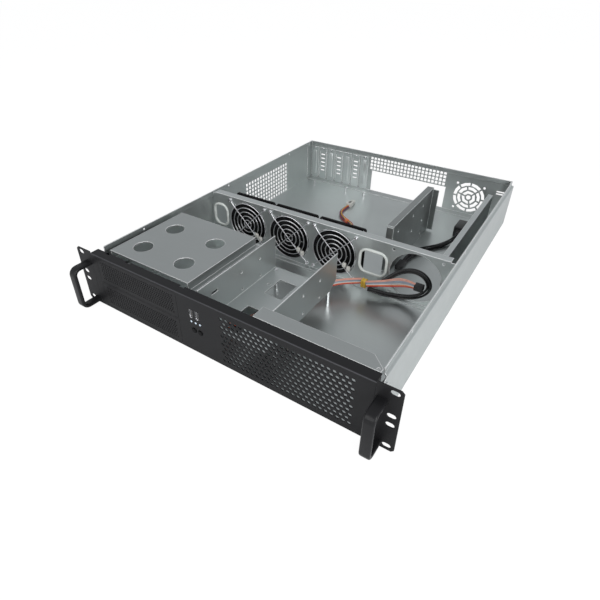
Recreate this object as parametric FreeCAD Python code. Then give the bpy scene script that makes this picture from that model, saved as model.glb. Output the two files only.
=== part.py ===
import FreeCAD, Part
import math
import os

os.makedirs("parts", exist_ok=True)

# An empty 2U rackmount server case with its lid off.
# X runs across the case, Y from the front to the rear and Z up, all in millimetres.
# Everything is drawn with Y = 0 on the front face of the bezel and Z = 0 under the floor.
# save() then moves it back, so that the origin is the middle of the footprint.

# ---------------------------------------------------------------- rack standard
rack_unit = 44.45
rack_units = 2
panel_shortfall = 0.8         # a rack panel is a little lower than its units
rack_hole_edge = 6.35         # from a unit's edge to its outer hole
rack_slot_long = 10.0
rack_slot_high = 6.8
rack_slot_edge = 8.75         # from the middle of a slot to the ear's outer edge

# ---------------------------------------------------------------- case body
body_half = 216.0             # half the width over the side walls
body_depth = 587.0            # front face of the bezel to outer face of the rear panel
body_drop = 2.1               # the body is this much lower than the ears
sheet = 1.2                   # zinc-plated steel of the body
front_sheet = 1.6             # painted steel of the bezel and the ears
bend = 1.0                    # inside radius of the wide folds
body_bend = 0.6               # inside radius of the body's own folds
corner_notch_reach = (13.0, 22.0)             # the front top corners of the walls are cut away
corner_notch_drop = 3.5
corner_notch_rise = 0.5
fit = 0.2                     # clearance between pieces that are screwed side by side
lid_step = 3.5                # the walls step in at the top, to take the lid's skirt
lid_step_down = 7.5
lid_step_rise = 2.0
lid_screw_from_rear = (492.6, 294.0, 97.0)
lid_screw_down = 4.5
lid_screw_r = 1.6
ear_screw_y = 21.5
ear_screw_down = 20.0
ear_screw_r = 1.9
ear_screw_head = 3.0
ear_screw_head_t = 1.0
ear_screw_past = 2.0

# ---------------------------------------------------------------- bezel
bezel_top_flange = 14.0
bezel_side_flange = 12.0
bezel_side_low = 2.0
bezel_side_down = 2.5
bezel_notch = 8.0
bezel_notches = (23.0, 63.0, 161.0)            # from its left end
bezel_notch_depth = 3.0
grille_low = 10.6             # centre of the lowest row of the wide grille
grille_edge = 26.0            # from the body's right side to the grille
grille_from_controls = 44.0
grille_rows = 11
grille_pitch_x = 7.1
grille_pitch_z = 6.4
grille_hole_w = 5.4
grille_hole_h = 3.8
bay_from_cage = 2.4
bay_width = 148.4             # opening for a 5.25-inch bay cover
bay_low = 3.4
bay_height = 39.0
bay_bar = 2.0
bay_fit = 0.25
bay_cover_depth = 9.0
bay_corner = 1.5

# ---------------------------------------------------------------- front controls
controls_from_bay = 27.2
usb_apart = 10.0
usb_z = 61.0
usb_w = 5.6
usb_h = 13.2
usb_fit = 0.2
usb_shell = 0.4
usb_tongue_start = 2.0
usb_tongue = 1.6
led_offsets = (-5.0, 2.0, 9.0)
led_z = 49.5
led_r = 1.5
led_fit = 0.1
led_proud = 0.2
led_lens = 4.0
led_step = 0.6
button_offsets = (-2.0, 8.0)
button_z = 36.5
button_r = 3.0
button_fit = 0.2
button_proud = 1.0
button_travel = 1.0
button_collar_r = 4.0
button_collar_t = 1.2
button_stem_r = 1.5
button_stem_end = 6.4
switch_gap = 0.3
switch_size = 6.0
board_y = 12.0
board_t = 1.6
board_w = 34.0
board_low = 18.0
board_high = 71.0
board_tab = 8.0
harness_plug = (12.0, 6.4, 9.0)
harness_plug_z = 25.0
harness_shift = 11.0

# ---------------------------------------------------------------- ears and handles
ear_overhang = 25.3           # how far an ear stands out past the body
ear_leg = 28.0
ear_leg_low = 4.0
ear_leg_down = 14.0
ear_corner = 3.0
handle_low = 4.5
handle_down = 15.0
handle_reach = 29.5
handle_t = 5.0
handle_w = 12.6
handle_inset = 1.4
handle_inner_r = 6.0
handle_screw_r = 1.8
handle_screw_head = 3.2
handle_screw_head_t = 2.0
screw_fit = 0.1

# ---------------------------------------------------------------- 5.25-inch cage
cage_from_wall = 11.8
cage_width = 159.0
cage_front = 16.0
cage_length = 149.0
cage_rim_down = 12.8          # top of the inward rims that carry the cover
cage_rim_w = 8.0
cage_slot_long = 14.0
cage_slot_high = 4.0
cage_slot_y = (29.0, 79.0, 124.0)
cage_slot_z = (14.0, 50.0)
cage_window = (33.0, 123.0, 34.0, 114.0)
cover_inset = 5.0             # the cover is this much shorter than the cage at each end
cover_hole_r = 14.0
cover_hole_apart_x = 78.0
cover_hole_apart_y = 61.5
cover_hole_shift = (-2.5, -7.25)

# ---------------------------------------------------------------- middle drive tray
tray_from_cage = 13.0
tray_width = 100.2
tray_front = 16.0
tray_length = 164.0
tray_right_front = 19.0       # the right wall starts this far behind the tray's front
tray_right_more = 7.0         # and runs on this far past its rear
tray_chamfer_y = 20.0
tray_chamfer_z = 10.0
tray_deck = 33.2              # upper face of the deck
tray_notch = (26.0, 49.0, 14.0, 64.0)
tray_cable_hole = (27.0, 56.0, 99.0, 138.0)
tray_hole = (20.0, 120.0)
tray_side_y = (83.5, 125.0)
tray_side_z = (6.3, 33.8)
tray_side_slot = (29.0, 33.8)
tray_hole_r = 2.0
tray_pillar_r = 3.5
tray_screw_r = 1.6
tray_screw_head = 3.0
tray_screw_head_t = 1.8
tray_pillars = ((7.0, 8.0), (91.0, 32.0), (7.0, 156.0), (91.0, 166.0))      # from its front left corner

# ---------------------------------------------------------------- front cross member
member_over_tray = 14.2       # its left end rests over the tray
member_depth = 20.5
member_web = 16.0
member_corner = 16.0
member_corner_depth = 15.0
member_hole = (4.0, 3.0)
member_hole_r = 1.6

# ---------------------------------------------------------------- fan wall
wall_front = 250.0
wall_flange = 12.5
wall_flange_gap = 6.0
wall_foot = 8.0
wall_fit = 0.4
wall_step_fit = 1.5
fan_size = 80.0
fan_depth = 25.0
fan_gap = 3.54
fan_from_wall = 78.45
fan_count = 3
fan_hole_pitch = 71.5
fan_hole_r = 2.15
fan_bore_r = 38.5
fan_bore_sides = 24
fan_flange_t = 3.8
fan_corner = 4.0
fan_hub_r = 17.5
fan_hub_wall = 1.5
fan_hub_sides = 14
fan_hub_plate = 3.0
fan_bearing_r = 3.6
fan_bearing_front = 7.0
fan_strut_w = 3.2
fan_strut_turn = 20.0
fan_blades = 7
fan_blade_t = 0.9
fan_blade_root = (14.0, math.radians(50))       # chord and pitch
fan_blade_tip = (23.0, math.radians(32))
fan_tip_gap = 3.6
fan_rotor_front = 3.0
fan_rotor_rear = 5.0
fan_cup_t = 2.0
fan_shaft_short = 2.0
fan_shaft_r = 1.5
fan_shaft_fit = 0.05
spare_from_cable_hole = 44.0
cable_hole_low = 27.0
cable_hole_high = 39.0
cable_hole_cut = 9.0
cable_hole_wide = 42.0
cable_hole_narrow = 28.0
cable_hole_edge = 5.8
cable_hole_clear = 4.27
edging_t = 1.2
edging_w = 4.4
guard_wire = 1.5
guard_rings = (7.5, 13.5, 19.5, 25.5, 31.5, 37.5)
guard_sides = 8
guard_eye = 4.0
guard_eye_hole = 2.4
fan_screw_head = 3.6
fan_screw_head_t = 1.8
fan_screw_past = 4.0
fan_screw_r = 1.9

# ---------------------------------------------------------------- rear panel
slot_pitch = 20.32
slot_count = 7
slot_from_wall = 11.3
slot_w = 13.4
slot_low = 5.0
slot_down = 16.0
slot_screw_down = 13.6
slot_screw_r = 1.3
slot_screw_head = 2.6
slot_screw_head_t = 1.6
slot_screw_play = 0.1
slot_cover_w = 18.4
slot_cover_t = 0.9
slot_cover_low = 2.6
slot_cover_down = 11.5
slot_cover_taper = 4.0
slot_vents = 5
slot_vent_pitch = 9.0
slot_vent_high = 2.2
io_from_slot = 18.78
io_width = 158.75
io_height = 44.45
io_sill = 2.6
rear_vent_low = 52.0
rear_vent_rows = 4
rear_vent_pitch = 7.4
rear_vent_hole = 5.2
rear_vent_shift = 2.2
rear_fan_from_wall = 72.3
rear_fan_z = 36.0
rear_fan_hole_pitch = 50.0
rear_fan_hole_r = 2.2
rear_fan_rings = ((8.0, 13.5, 3), (16.0, 21.5, 6), (24.0, 29.5, 8))
rear_fan_web = 3.0
rear_fan_centre_r = 4.5
rear_flange = 17.0
rear_foot = 16.0
rear_flange_low = 6.0
rear_slit_from_wall = (10.0, 25.0)
rear_slit_down = (27.0, 31.5)
rear_slit_high = 2.4

# ---------------------------------------------------------------- left wall vent
side_vent_from_rear = 237.5
side_vent_low = 5.0
side_vent_columns = 16
side_vent_rows = 8
side_vent_pitch_y = 8.9
side_vent_pitch_z = 8.0
side_vent_hole = 5.5

# ---------------------------------------------------------------- power supply bay
divider_from_wall = 112.8
divider_behind_fans = 52.0
divider_length = 178.0
divider_flange = 10.0
divider_down = 1.0
divider_flange_step = 3.0
divider_holes = ((21.6, 68.5), (85.0, 68.5), (131.0, 68.5), (87.5, 39.0), (135.0, 39.0), (138.0, 12.0))
divider_hole_r = 2.2
rail_from_wall = 23.8         # bracket between the supply and the right wall
rail_behind_fans = 30.0
rail_from_rear = 47.0
rail_high = 70.0
rail_flange = 7.0
rail_foot = 12.0

# ---------------------------------------------------------------- board standoffs
standoff_r = 3.0
standoff_bore = 1.5
standoff_high = 10.0
standoff_columns = (33.8, 111.8, 154.8)       # from the left wall
standoff_rows = (38.0, 190.8, 263.2)          # from the rear panel
standoff_sides = 6

# ---------------------------------------------------------------- wiring
cord_sides = 6                # a cord's section has as much area as the circle it stands for
cord_arc_share = 0.45         # how much of the shorter run an arc takes
harness_r = 4.0
harness_route = ((-14.0, 20.0, 25.0), (-14.0, 43.0, 20.0), (-10.0, 76.0, 8.0), (4.0, 112.0, 5.4), (20.0, 146.0, 8.0),
                 (35.0, 174.0, 15.0), (54.0, 203.0, 23.0), (75.0, 226.0, 27.0), (92.0, 226.0, 27.0))
tie_size = (9.0, 17.0, 23.0)
tie_corner = (92.0, 218.0, 9.0)
loop_r = 3.0
loop_route = ((101.0, 230.0, 22.0), (113.0, 230.0, 22.0), (127.0, 238.0, 38.0), (142.0, 243.0, 52.0),
              (160.0, 243.5, 60.0), (177.0, 243.5, 57.0), (187.0, 243.5, 43.0), (181.0, 243.5, 27.0),
              (165.0, 243.5, 15.0), (143.0, 243.0, 9.0), (121.0, 231.0, 13.0), (101.0, 231.0, 13.0))
wires_r = 3.2
wires_route = ((101.0, 222.5, 27.0), (113.0, 222.5, 27.0), (133.0, 229.0, 33.0), (153.0, 234.0, 42.0), (168.0, 234.0, 42.0))
wires_plug = (12.0, 10.0, 8.0)
fan_lead_r = 2.4
fan_lead_route = ((2.0, 276.2, 6.6), (2.0, 294.0, 5.2), (-2.0, 325.0, 4.2), (-6.0, 360.0, 4.0), (-8.0, 392.0, 4.1),
                  (-18.0, 414.0, 4.0), (-38.0, 425.0, 4.0), (-58.0, 441.0, 4.0), (-66.0, 463.0, 4.1), (-64.0, 485.0, 4.0))
fan_lead_plug = (11.0, 24.0, 8.0)
lead_r = 3.0
lead_route = ((162.0, 470.0, 11.0), (158.0, 453.0, 8.0), (146.0, 430.0, 4.9), (131.0, 411.0, 4.7),
              (119.0, 389.0, 4.7), (113.0, 365.0, 4.7), (112.0, 343.0, 4.7))
lead_plug = (24.0, 46.0, 20.0)
lead_socket = (12.0, 22.0, 8.0)


# ---------------------------------------------------------------- worked out from those
panel_height = rack_units * rack_unit - panel_shortfall
body_height = panel_height - body_drop
rack_low = (rack_units * rack_unit - panel_height) / 2
wall_in = body_half - sheet
top_in = body_half - lid_step - sheet       # inner face of the walls above the step
floor = sheet
lid_step_high = body_height - lid_step_down
lid_step_low = lid_step_high - lid_step_rise
lid_screw_z = body_height - lid_screw_down
ear_screw_z = body_height - ear_screw_down
ear_x = wall_in - front_sheet
ear_outer = body_half + ear_overhang
bezel_half = ear_x - fit
handle_x = ear_x + handle_inset
handle_high = body_height - handle_down
handle_screw_z = (handle_low + handle_t / 2, handle_high - handle_t / 2)
rear_in = body_depth - sheet
wall_half = wall_in - wall_fit
wall_flange_half = top_in - wall_flange_gap
tray_top = body_height - fit
rail_front = wall_front + rail_behind_fans
rail_rear = body_depth - rail_from_rear
cage_left = -wall_in + cage_from_wall
cage_right = cage_left + cage_width
cage_rear = cage_front + cage_length
cage_rim = body_height - cage_rim_down
bay_left = cage_left + bay_from_cage
control_x = bay_left + bay_width + controls_from_bay
usb_x = (control_x - usb_apart / 2, control_x + usb_apart / 2)
board_left = control_x - board_w / 2
led_x = [control_x + offset for offset in led_offsets]
button_x = [control_x + offset for offset in button_offsets]
grille_left = control_x + grille_from_controls
grille_columns = int((body_half - grille_edge - grille_left) / grille_pitch_x) + 1
tray_left = cage_right + tray_from_cage
tray_right = tray_left + tray_width
tray_rear = tray_front + tray_length
member_left = tray_right - member_over_tray
fan_z = (floor + body_height) / 2 + fit
fan_pitch = fan_size + fan_gap
fan_x = [-wall_in + fan_from_wall + n * fan_pitch for n in range(fan_count)]
fan_back = wall_front + sheet
cable_hole_z = (cable_hole_low, cable_hole_low + cable_hole_high)
cable_hole_left = (-wall_in + cable_hole_edge, -wall_in + cable_hole_edge + cable_hole_narrow)
cable_hole_mid_start = fan_x[-1] + fan_size / 2 + cable_hole_clear
cable_hole_mid = (cable_hole_mid_start, cable_hole_mid_start + cable_hole_wide)
spare_fan_x = cable_hole_mid[1] + spare_from_cable_hole
slot_x = [-wall_in + slot_from_wall + n * slot_pitch for n in range(slot_count)]
slot_screw_z = body_height - slot_screw_down
io_left = slot_x[-1] + io_from_slot
rear_vent_columns = int(io_width / rear_vent_pitch) + 1
rear_vent_left = io_left - rear_vent_shift
rear_fan_x = wall_in - rear_fan_from_wall
side_vent_front = body_depth - side_vent_from_rear
divider_x = wall_in - divider_from_wall
divider_front = wall_front + divider_behind_fans
divider_rear = divider_front + divider_length
divider_top = body_height - divider_down
rail_x = wall_in - rail_from_wall
footprint_middle = (body_depth - handle_reach) / 2


# ---------------------------------------------------------------- drawing helpers
def place(plane, u, v, w):
    """A point of a drawing plane, w along its normal."""
    if plane == "XZ":
        return FreeCAD.Vector(u, w, v)
    if plane == "YZ":
        return FreeCAD.Vector(w, u, v)
    return FreeCAD.Vector(u, v, w)


def normal(plane):
    return place(plane, 0, 0, 1)


def outline(plane, points, w, radii=None):
    """A closed wire through points, with its corners rounded to radii."""
    count = len(points)
    radii = radii or [0] * count
    ends = []
    for i, (u, v) in enumerate(points):
        if not radii[i]:
            ends.append(((u, v), None, (u, v)))
            continue
        before = points[i - 1]
        after = points[(i + 1) % count]
        a = math.hypot(before[0] - u, before[1] - v)
        b = math.hypot(after[0] - u, after[1] - v)
        ua = ((before[0] - u) / a, (before[1] - v) / a)
        ub = ((after[0] - u) / b, (after[1] - v) / b)
        half = math.acos(max(-1, min(1, ua[0] * ub[0] + ua[1] * ub[1]))) / 2
        run = radii[i] / math.tan(half)
        mid = math.hypot(ua[0] + ub[0], ua[1] + ub[1])
        reach = radii[i] / math.sin(half) - radii[i]
        crown = (u + (ua[0] + ub[0]) / mid * reach, v + (ua[1] + ub[1]) / mid * reach)
        ends.append(((u + ua[0] * run, v + ua[1] * run), crown, (u + ub[0] * run, v + ub[1] * run)))
    edges = []
    for i, (first, crown, last) in enumerate(ends):
        if crown:
            edges.append(Part.Arc(place(plane, *first, w), place(plane, *crown, w), place(plane, *last, w)).toShape())
        following = ends[(i + 1) % count][0]
        if math.hypot(following[0] - last[0], following[1] - last[1]) > 1e-6:
            edges.append(Part.makeLine(place(plane, *last, w), place(plane, *following, w)))
    return Part.Wire(edges)


def ring(plane, u, v, radius, w):
    """A round wire."""
    return Part.Wire([Part.makeCircle(radius, place(plane, u, v, w), normal(plane))])


def faceted(plane, u, v, radius, w, sides=8):
    """A small hole or a screw as a wire of straight sides, which keeps the part light."""
    points = []
    for n in range(sides):
        angle = 2 * math.pi * (n + 0.5) / sides
        points.append((u + radius * math.cos(angle), v + radius * math.sin(angle)))
    return outline(plane, points, w)


def bar(plane, u, v, radius, w0, w1, sides=8):
    """A small post or shank of straight sides."""
    return plate(plane, [faceted(plane, u, v, radius, w0, sides)], w0, w1)


def bar_cut(plane, u, v, radius, w0, w1):
    """A cutter for a small hole."""
    return bar(plane, u, v, radius, w0, w1, 6)


def plate(plane, wires, w0, w1):
    """A flat plate between w0 and w1: the first wire is its outline and the others are its holes."""
    face = Part.makeFace(wires, "Part::FaceMakerBullseye")
    return face.extrude(normal(plane) * (w1 - w0))


def prism(plane, points, w0, w1, radii=None):
    return plate(plane, [outline(plane, points, w0, radii)], w0, w1)


def rectangle(u0, u1, v0, v1):
    return [(u0, v0), (u1, v0), (u1, v1), (u0, v1)]


def block(x0, x1, y0, y1, z0, z1):
    return Part.makeBox(x1 - x0, y1 - y0, z1 - z0, FreeCAD.Vector(x0, y0, z0))


def rod(plane, u, v, radius, w0, w1):
    return Part.makeCylinder(radius, w1 - w0, place(plane, u, v, w0), normal(plane))


def rounded(plane, u0, u1, v0, v1, radius, w):
    return outline(plane, rectangle(u0, u1, v0, v1), w, [radius] * 4)


def obround(plane, u, v, length, width, w):
    """A slot with round ends, long along the plane's first axis."""
    r = width / 2
    s = length / 2 - r
    top = Part.Arc(place(plane, u + s, v + r, w), place(plane, u + s + r, v, w), place(plane, u + s, v - r, w))
    end = Part.Arc(place(plane, u - s, v - r, w), place(plane, u - s - r, v, w), place(plane, u - s, v + r, w))
    low_line = Part.makeLine(place(plane, u + s, v - r, w), place(plane, u - s, v - r, w))
    high_line = Part.makeLine(place(plane, u - s, v + r, w), place(plane, u + s, v + r, w))
    return Part.Wire([top.toShape(), low_line, end.toShape(), high_line])


def offset_path(path, t):
    """The path moved t to its left, with mitred corners."""
    moved = []
    for i, (u, v) in enumerate(path):
        normals = []
        for a, b in ((i - 1, i), (i, i + 1)):
            if a < 0 or b >= len(path):
                continue
            du = path[b][0] - path[a][0]
            dv = path[b][1] - path[a][1]
            length = math.hypot(du, dv)
            normals.append((-dv / length, du / length))
        nu = sum(n[0] for n in normals)
        nv = sum(n[1] for n in normals)
        scale = t * len(normals) / (nu * nu + nv * nv) if len(normals) == 1 else 2 * t / (nu * nu + nv * nv)
        moved.append((u + nu * scale, v + nv * scale))
    return moved


def folded(plane, path, t, w0, w1, inside=bend):
    """Sheet of thickness t folded along a path, with the material to the left of the path."""
    other = offset_path(path, t)
    near = [0]
    far = [0]
    for i in range(1, len(path) - 1):
        du = path[i][0] - path[i - 1][0]
        dv = path[i][1] - path[i - 1][1]
        eu = path[i + 1][0] - path[i][0]
        ev = path[i + 1][1] - path[i][1]
        left_turn = du * ev - dv * eu > 0
        near.append(inside + t if left_turn else inside)
        far.append(inside if left_turn else inside + t)
    near.append(0)
    far.append(0)
    if not inside:
        near = [0] * len(path)
        far = [0] * len(path)
    return prism(plane, path + other[::-1], w0, w1, near + far[::-1])


def joined(*shapes):
    result = shapes[0]
    for shape in shapes[1:]:
        result = result.fuse(shape)
    return result.removeSplitter()


def mirrored(shape):
    return shape.mirror(FreeCAD.Vector(0, 0, 0), FreeCAD.Vector(1, 0, 0))


def save(name, shape):
    """Write one node, moved so that the origin is the middle of the footprint."""
    if not shape.isValid():
        raise ValueError(name + " is not a valid shape")
    moved = shape.copy()
    moved.translate(FreeCAD.Vector(0, -footprint_middle, 0))
    moved.exportStep("parts/" + name + ".step")
    print(name, "solids", len(moved.Solids), "volume", round(moved.Volume, 1))


# ---------------------------------------------------------------- chassis tray
def wall_path():
    """The outer face of the walls and floor, from the top of the left wall round to the right."""
    half = [(body_half - lid_step, body_height), (body_half - lid_step, lid_step_high),
            (body_half, lid_step_low), (body_half, 0)]
    left = [(-x, z) for x, z in half]
    return left + half[::-1]


def rear_path():
    """The outer face of the rear panel, from the bottom up."""
    return [(body_depth, 0), (body_depth, lid_step_low),
            (body_depth - lid_step, lid_step_high), (body_depth - lid_step, body_height)]


def body_section(w0, w1):
    return prism("XZ", wall_path(), w0, w1)


def make_chassis_tray():
    tray = folded("XZ", wall_path(), sheet, front_sheet, body_depth, body_bend)
    across = body_half + 1
    beyond = body_depth + 10
    behind_rear = offset_path(rear_path(), sheet) + [(beyond, body_height), (beyond, 0)]
    tray = tray.cut(prism("YZ", behind_rear, -across, across))
    notch_low = lid_step_low - corner_notch_drop
    low_y, high_y = corner_notch_reach
    notch = [(0, notch_low), (low_y, notch_low), (high_y, lid_step_low + corner_notch_rise),
             (high_y, body_height + 1), (0, body_height + 1)]
    tray = tray.cut(prism("YZ", notch, -across, across))
    half = side_vent_hole / 2
    cutters = []
    for column in range(side_vent_columns):
        y = side_vent_front + column * side_vent_pitch_y
        for row in range(side_vent_rows):
            z = side_vent_low + row * side_vent_pitch_z
            cutters.append(block(-across, -wall_in + 1, y - half, y + half, z - half, z + half))
    for side in (-1, 1):
        outer = side * body_half
        for back in lid_screw_from_rear:
            cutters.append(bar_cut("YZ", body_depth - back, lid_screw_z, lid_screw_r, outer - 6, outer + 6))
        cutters.append(bar_cut("YZ", ear_screw_y, ear_screw_z, ear_screw_r, outer - 3, outer + 3))
    return tray.cut(Part.makeCompound(cutters))


# ---------------------------------------------------------------- rear panel
def grille_window(u, v, r0, r1, a0, a1, w):
    """A window between two radii and two angles, with its arcs as short straight runs."""
    steps = 2
    angles = [a0 + (a1 - a0) * n / steps for n in range(steps + 1)]
    outer = [(u + r1 * math.cos(a), v + r1 * math.sin(a)) for a in angles]
    inner = [(u + r0 * math.cos(a), v + r0 * math.sin(a)) for a in angles]
    return outline("XZ", outer + inner[::-1], w)


def make_rear_panel():
    panel = folded("YZ", rear_path(), sheet, -body_half, body_half, 0)
    panel = panel.common(body_section(0, body_depth + 1))
    w = rear_in - 1
    w1 = body_depth + 1
    cutters = []
    for x in slot_x:
        cutters.append(block(x - slot_w / 2, x + slot_w / 2, w, w1, slot_low, body_height - slot_down))
        cutters.append(bar_cut("XZ", x, slot_screw_z, slot_screw_r, w, w1))
    cutters.append(block(io_left, io_left + io_width, w, w1, io_sill, io_sill + io_height))
    half = rear_vent_hole / 2
    for column in range(rear_vent_columns):
        x = rear_vent_left + column * rear_vent_pitch
        for row in range(rear_vent_rows):
            z = rear_vent_low + row * rear_vent_pitch
            cutters.append(block(x - half, x + half, w, w1, z - half, z + half))
    for r0, r1, count in rear_fan_rings:
        web = rear_fan_web / (r0 + r1)
        for n in range(count):
            a0 = math.pi / 4 + 2 * math.pi * n / count + web
            a1 = math.pi / 4 + 2 * math.pi * (n + 1) / count - web
            cutters.append(plate("XZ", [grille_window(rear_fan_x, rear_fan_z, r0, r1, a0, a1, w)], w, w1))
    cutters.append(bar("XZ", rear_fan_x, rear_fan_z, rear_fan_centre_r, w, w1))
    reach = rear_fan_hole_pitch / 2
    for dx in (-reach, reach):
        for dz in (-reach, reach):
            cutters.append(rod("XZ", rear_fan_x + dx, rear_fan_z + dz, rear_fan_hole_r, w, w1))
    for down in rear_slit_down:
        z = body_height - down
        cutters.append(block(wall_in - rear_slit_from_wall[1], wall_in - rear_slit_from_wall[0], w, w1, z, z + rear_slit_high))
    panel = panel.cut(Part.makeCompound(cutters))
    inner = offset_path(wall_path(), sheet)
    path = [(wall_in, rear_flange_low)] + inner[5:8]
    flange = folded("XZ", path, sheet, rear_in - rear_flange, rear_in, 0)
    beyond = body_depth + 5
    behind = offset_path(rear_path(), sheet) + [(beyond, body_height), (beyond, 0)]
    flange = flange.cut(prism("YZ", behind, 0, body_half + 1))
    foot = block(-wall_in + fit, wall_in - fit, rear_in - rear_foot, rear_in, floor, floor + sheet)
    return joined(panel, flange, mirrored(flange), foot)


def make_slot_cover(n):
    """A blanking plate behind its slot, narrowed at the foot, and vented on every other one."""
    x = slot_x[n]
    y = rear_in - slot_cover_t
    left = x - slot_cover_w / 2
    right = x + slot_cover_w / 2
    shoulder = slot_cover_low + slot_cover_taper
    high = body_height - slot_cover_down
    face = [(left, shoulder), (left + slot_cover_taper, slot_cover_low), (right - slot_cover_taper, slot_cover_low),
            (right, shoulder), (right, high), (left, high)]
    wires = [outline("XZ", face, y), faceted("XZ", x, slot_screw_z, slot_screw_r, y, 6)]
    if n % 2:
        for row in range(slot_vents):
            z = slot_low + 2 * slot_vent_pitch + row * slot_vent_pitch
            low = z - slot_vent_high / 2
            wires.append(outline("XZ", rectangle(x - slot_w / 3, x + slot_w / 3, low, low + slot_vent_high), y))
    return plate("XZ", wires, y, rear_in)


def make_slot_screws():
    """A screw through the top of each slot cover."""
    screws = []
    for x in slot_x:
        under = rear_in - slot_cover_t
        head = bar("XZ", x, slot_screw_z, slot_screw_head, under - slot_screw_head_t, under, 6)
        shank = bar("XZ", x, slot_screw_z, slot_screw_r - slot_screw_play, under, body_depth - sheet / 4, 6)
        screws.append(joined(head, shank))
    return Part.makeCompound(screws)


# ---------------------------------------------------------------- bezel and bay covers
def grille_holes(w):
    """Lozenge holes in staggered rows."""
    half = grille_hole_w / 2
    high = grille_hole_h / 2
    wires = []
    for row in range(grille_rows):
        z = grille_low + row * grille_pitch_z
        shift = row % 2 * grille_pitch_x / 2
        for column in range(grille_columns - row % 2):
            x = grille_left + shift + column * grille_pitch_x
            wires.append(outline("XZ", [(x - half, z), (x, z - high), (x + half, z), (x, z + high)], w))
    return wires


def bay_opening(row):
    low = bay_low + row * (bay_height + bay_bar)
    return bay_left, bay_left + bay_width, low, low + bay_height


def chamfered(x0, x1, z0, z1, cut, w):
    """A rectangle with its corners cut off, as a wire."""
    points = [(x0 + cut, z0), (x1 - cut, z0), (x1, z0 + cut), (x1, z1 - cut),
              (x1 - cut, z1), (x0 + cut, z1), (x0, z1 - cut), (x0, z0 + cut)]
    return outline("XZ", points, w)


def make_front_bezel():
    wires = [outline("XZ", rectangle(-bezel_half, bezel_half, 0, body_height), 0)]
    wires += grille_holes(0)
    for row in (0, 1):
        wires.append(chamfered(*bay_opening(row), bay_corner, 0))
    for x in usb_x:
        wires.append(outline("XZ", rectangle(x - usb_w / 2, x + usb_w / 2, usb_z - usb_h / 2, usb_z + usb_h / 2), 0))
    for x in led_x:
        wires.append(faceted("XZ", x, led_z, led_r + led_fit, 0))
    for x in button_x:
        wires.append(faceted("XZ", x, button_z, button_r + button_fit, 0, 12))
    face = plate("XZ", wires, 0, front_sheet)
    top = block(-bezel_half, bezel_half, front_sheet, bezel_top_flange, body_height - front_sheet, body_height)
    half = bezel_notch / 2
    low = body_height - front_sheet - 1
    notches = []
    for x in [-bezel_half + reach for reach in bezel_notches]:
        notches.append(block(x - half, x + half, bezel_top_flange - bezel_notch_depth, bezel_top_flange + 1,
                             low, body_height + 1))
    top = top.cut(Part.makeCompound(notches))
    side = block(bezel_half - front_sheet, bezel_half, front_sheet, bezel_side_flange,
                 bezel_side_low, body_height - bezel_side_down)
    return joined(face, top, side, mirrored(side))


def make_bay_cover(row):
    """A pan-shaped blanking cover that clips into its opening, flush with the bezel."""
    x0, x1, z0, z1 = bay_opening(row)
    x0 += bay_fit
    x1 -= bay_fit
    z0 += bay_fit
    z1 -= bay_fit
    pan = plate("XZ", [chamfered(x0, x1, z0, z1, bay_corner, 0)], 0, bay_cover_depth)
    hollow = block(x0 + sheet, x1 - sheet, sheet, bay_cover_depth + 1, z0 + sheet, z1 - sheet)
    return pan.cut(hollow)


# ---------------------------------------------------------------- front controls
def make_front_io_board():
    return block(board_left, board_left + board_w, board_y, board_y + board_t, board_low, board_high)


def make_front_io_bracket():
    """A folded bracket behind the bezel that holds the small board at its edges."""
    x0 = board_left
    x1 = board_left + board_w
    back = board_y + board_t
    left = folded("XY", [(x0 - board_tab, front_sheet), (x0, front_sheet), (x0, back)], sheet, board_low, board_high, 0)
    right = folded("XY", [(x1, back), (x1, front_sheet), (x1 + board_tab, front_sheet)], sheet, board_low, board_high, 0)
    return Part.makeCompound([left, right])


def make_usb_port(n):
    """A metal receptacle shell with its tongue, from the bezel back to the board."""
    x = usb_x[n]
    left = x - usb_w / 2 + usb_fit
    right = x + usb_w / 2 - usb_fit
    low = usb_z - usb_h / 2 + usb_fit
    high = usb_z + usb_h / 2 - usb_fit
    shell = block(left, right, usb_shell, board_y, low, high)
    inside = block(left + usb_shell, right - usb_shell, 0, board_y - usb_tongue,
                   low + usb_shell, high - usb_shell)
    tongue = block(left + usb_shell, left + usb_shell + usb_tongue, usb_tongue_start, board_y - usb_tongue / 2,
                   low + 2 * usb_shell, high - 2 * usb_shell)
    return joined(shell.cut(inside), tongue)


def make_leds():
    """Three small lamps in the bezel, each on its stem from the board."""
    lamps = []
    for x in led_x:
        lens = bar("XZ", x, led_z, led_r, -led_proud, led_lens)
        stem = bar("XZ", x, led_z, led_r - led_step, led_lens, board_y)
        lamps.append(joined(lens, stem))
    return Part.makeCompound(lamps)


def make_button(x):
    collar_front = front_sheet + fit
    collar_back = collar_front + button_collar_t
    cap = bar("XZ", x, button_z, button_r, -button_proud, collar_front, 12)
    collar = bar("XZ", x, button_z, button_collar_r, collar_front, collar_back, 12)
    stem = bar("XZ", x, button_z, button_stem_r, collar_back, button_stem_end)
    return joined(cap, collar, stem)


def make_switches():
    """The switch bodies on the board, just behind the ends of the two button stems."""
    half = switch_size / 2
    front = button_stem_end + button_travel + switch_gap
    bodies = [block(x - half, x + half, front, board_y, button_z - half, button_z + half) for x in button_x]
    return Part.makeCompound(bodies)


def make_harness_plug():
    """The housing on the small board that the front harness plugs into."""
    width, depth, high = harness_plug
    back = board_y + board_t + depth
    return block(control_x + harness_shift - width / 2, control_x + harness_shift + width / 2, board_y + board_t, back,
                 harness_plug_z - high / 2, harness_plug_z + high / 2)


# ---------------------------------------------------------------- ears and handles
def rack_slot(x, z):
    return obround("XZ", x, z, rack_slot_long, rack_slot_high, 0)


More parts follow.
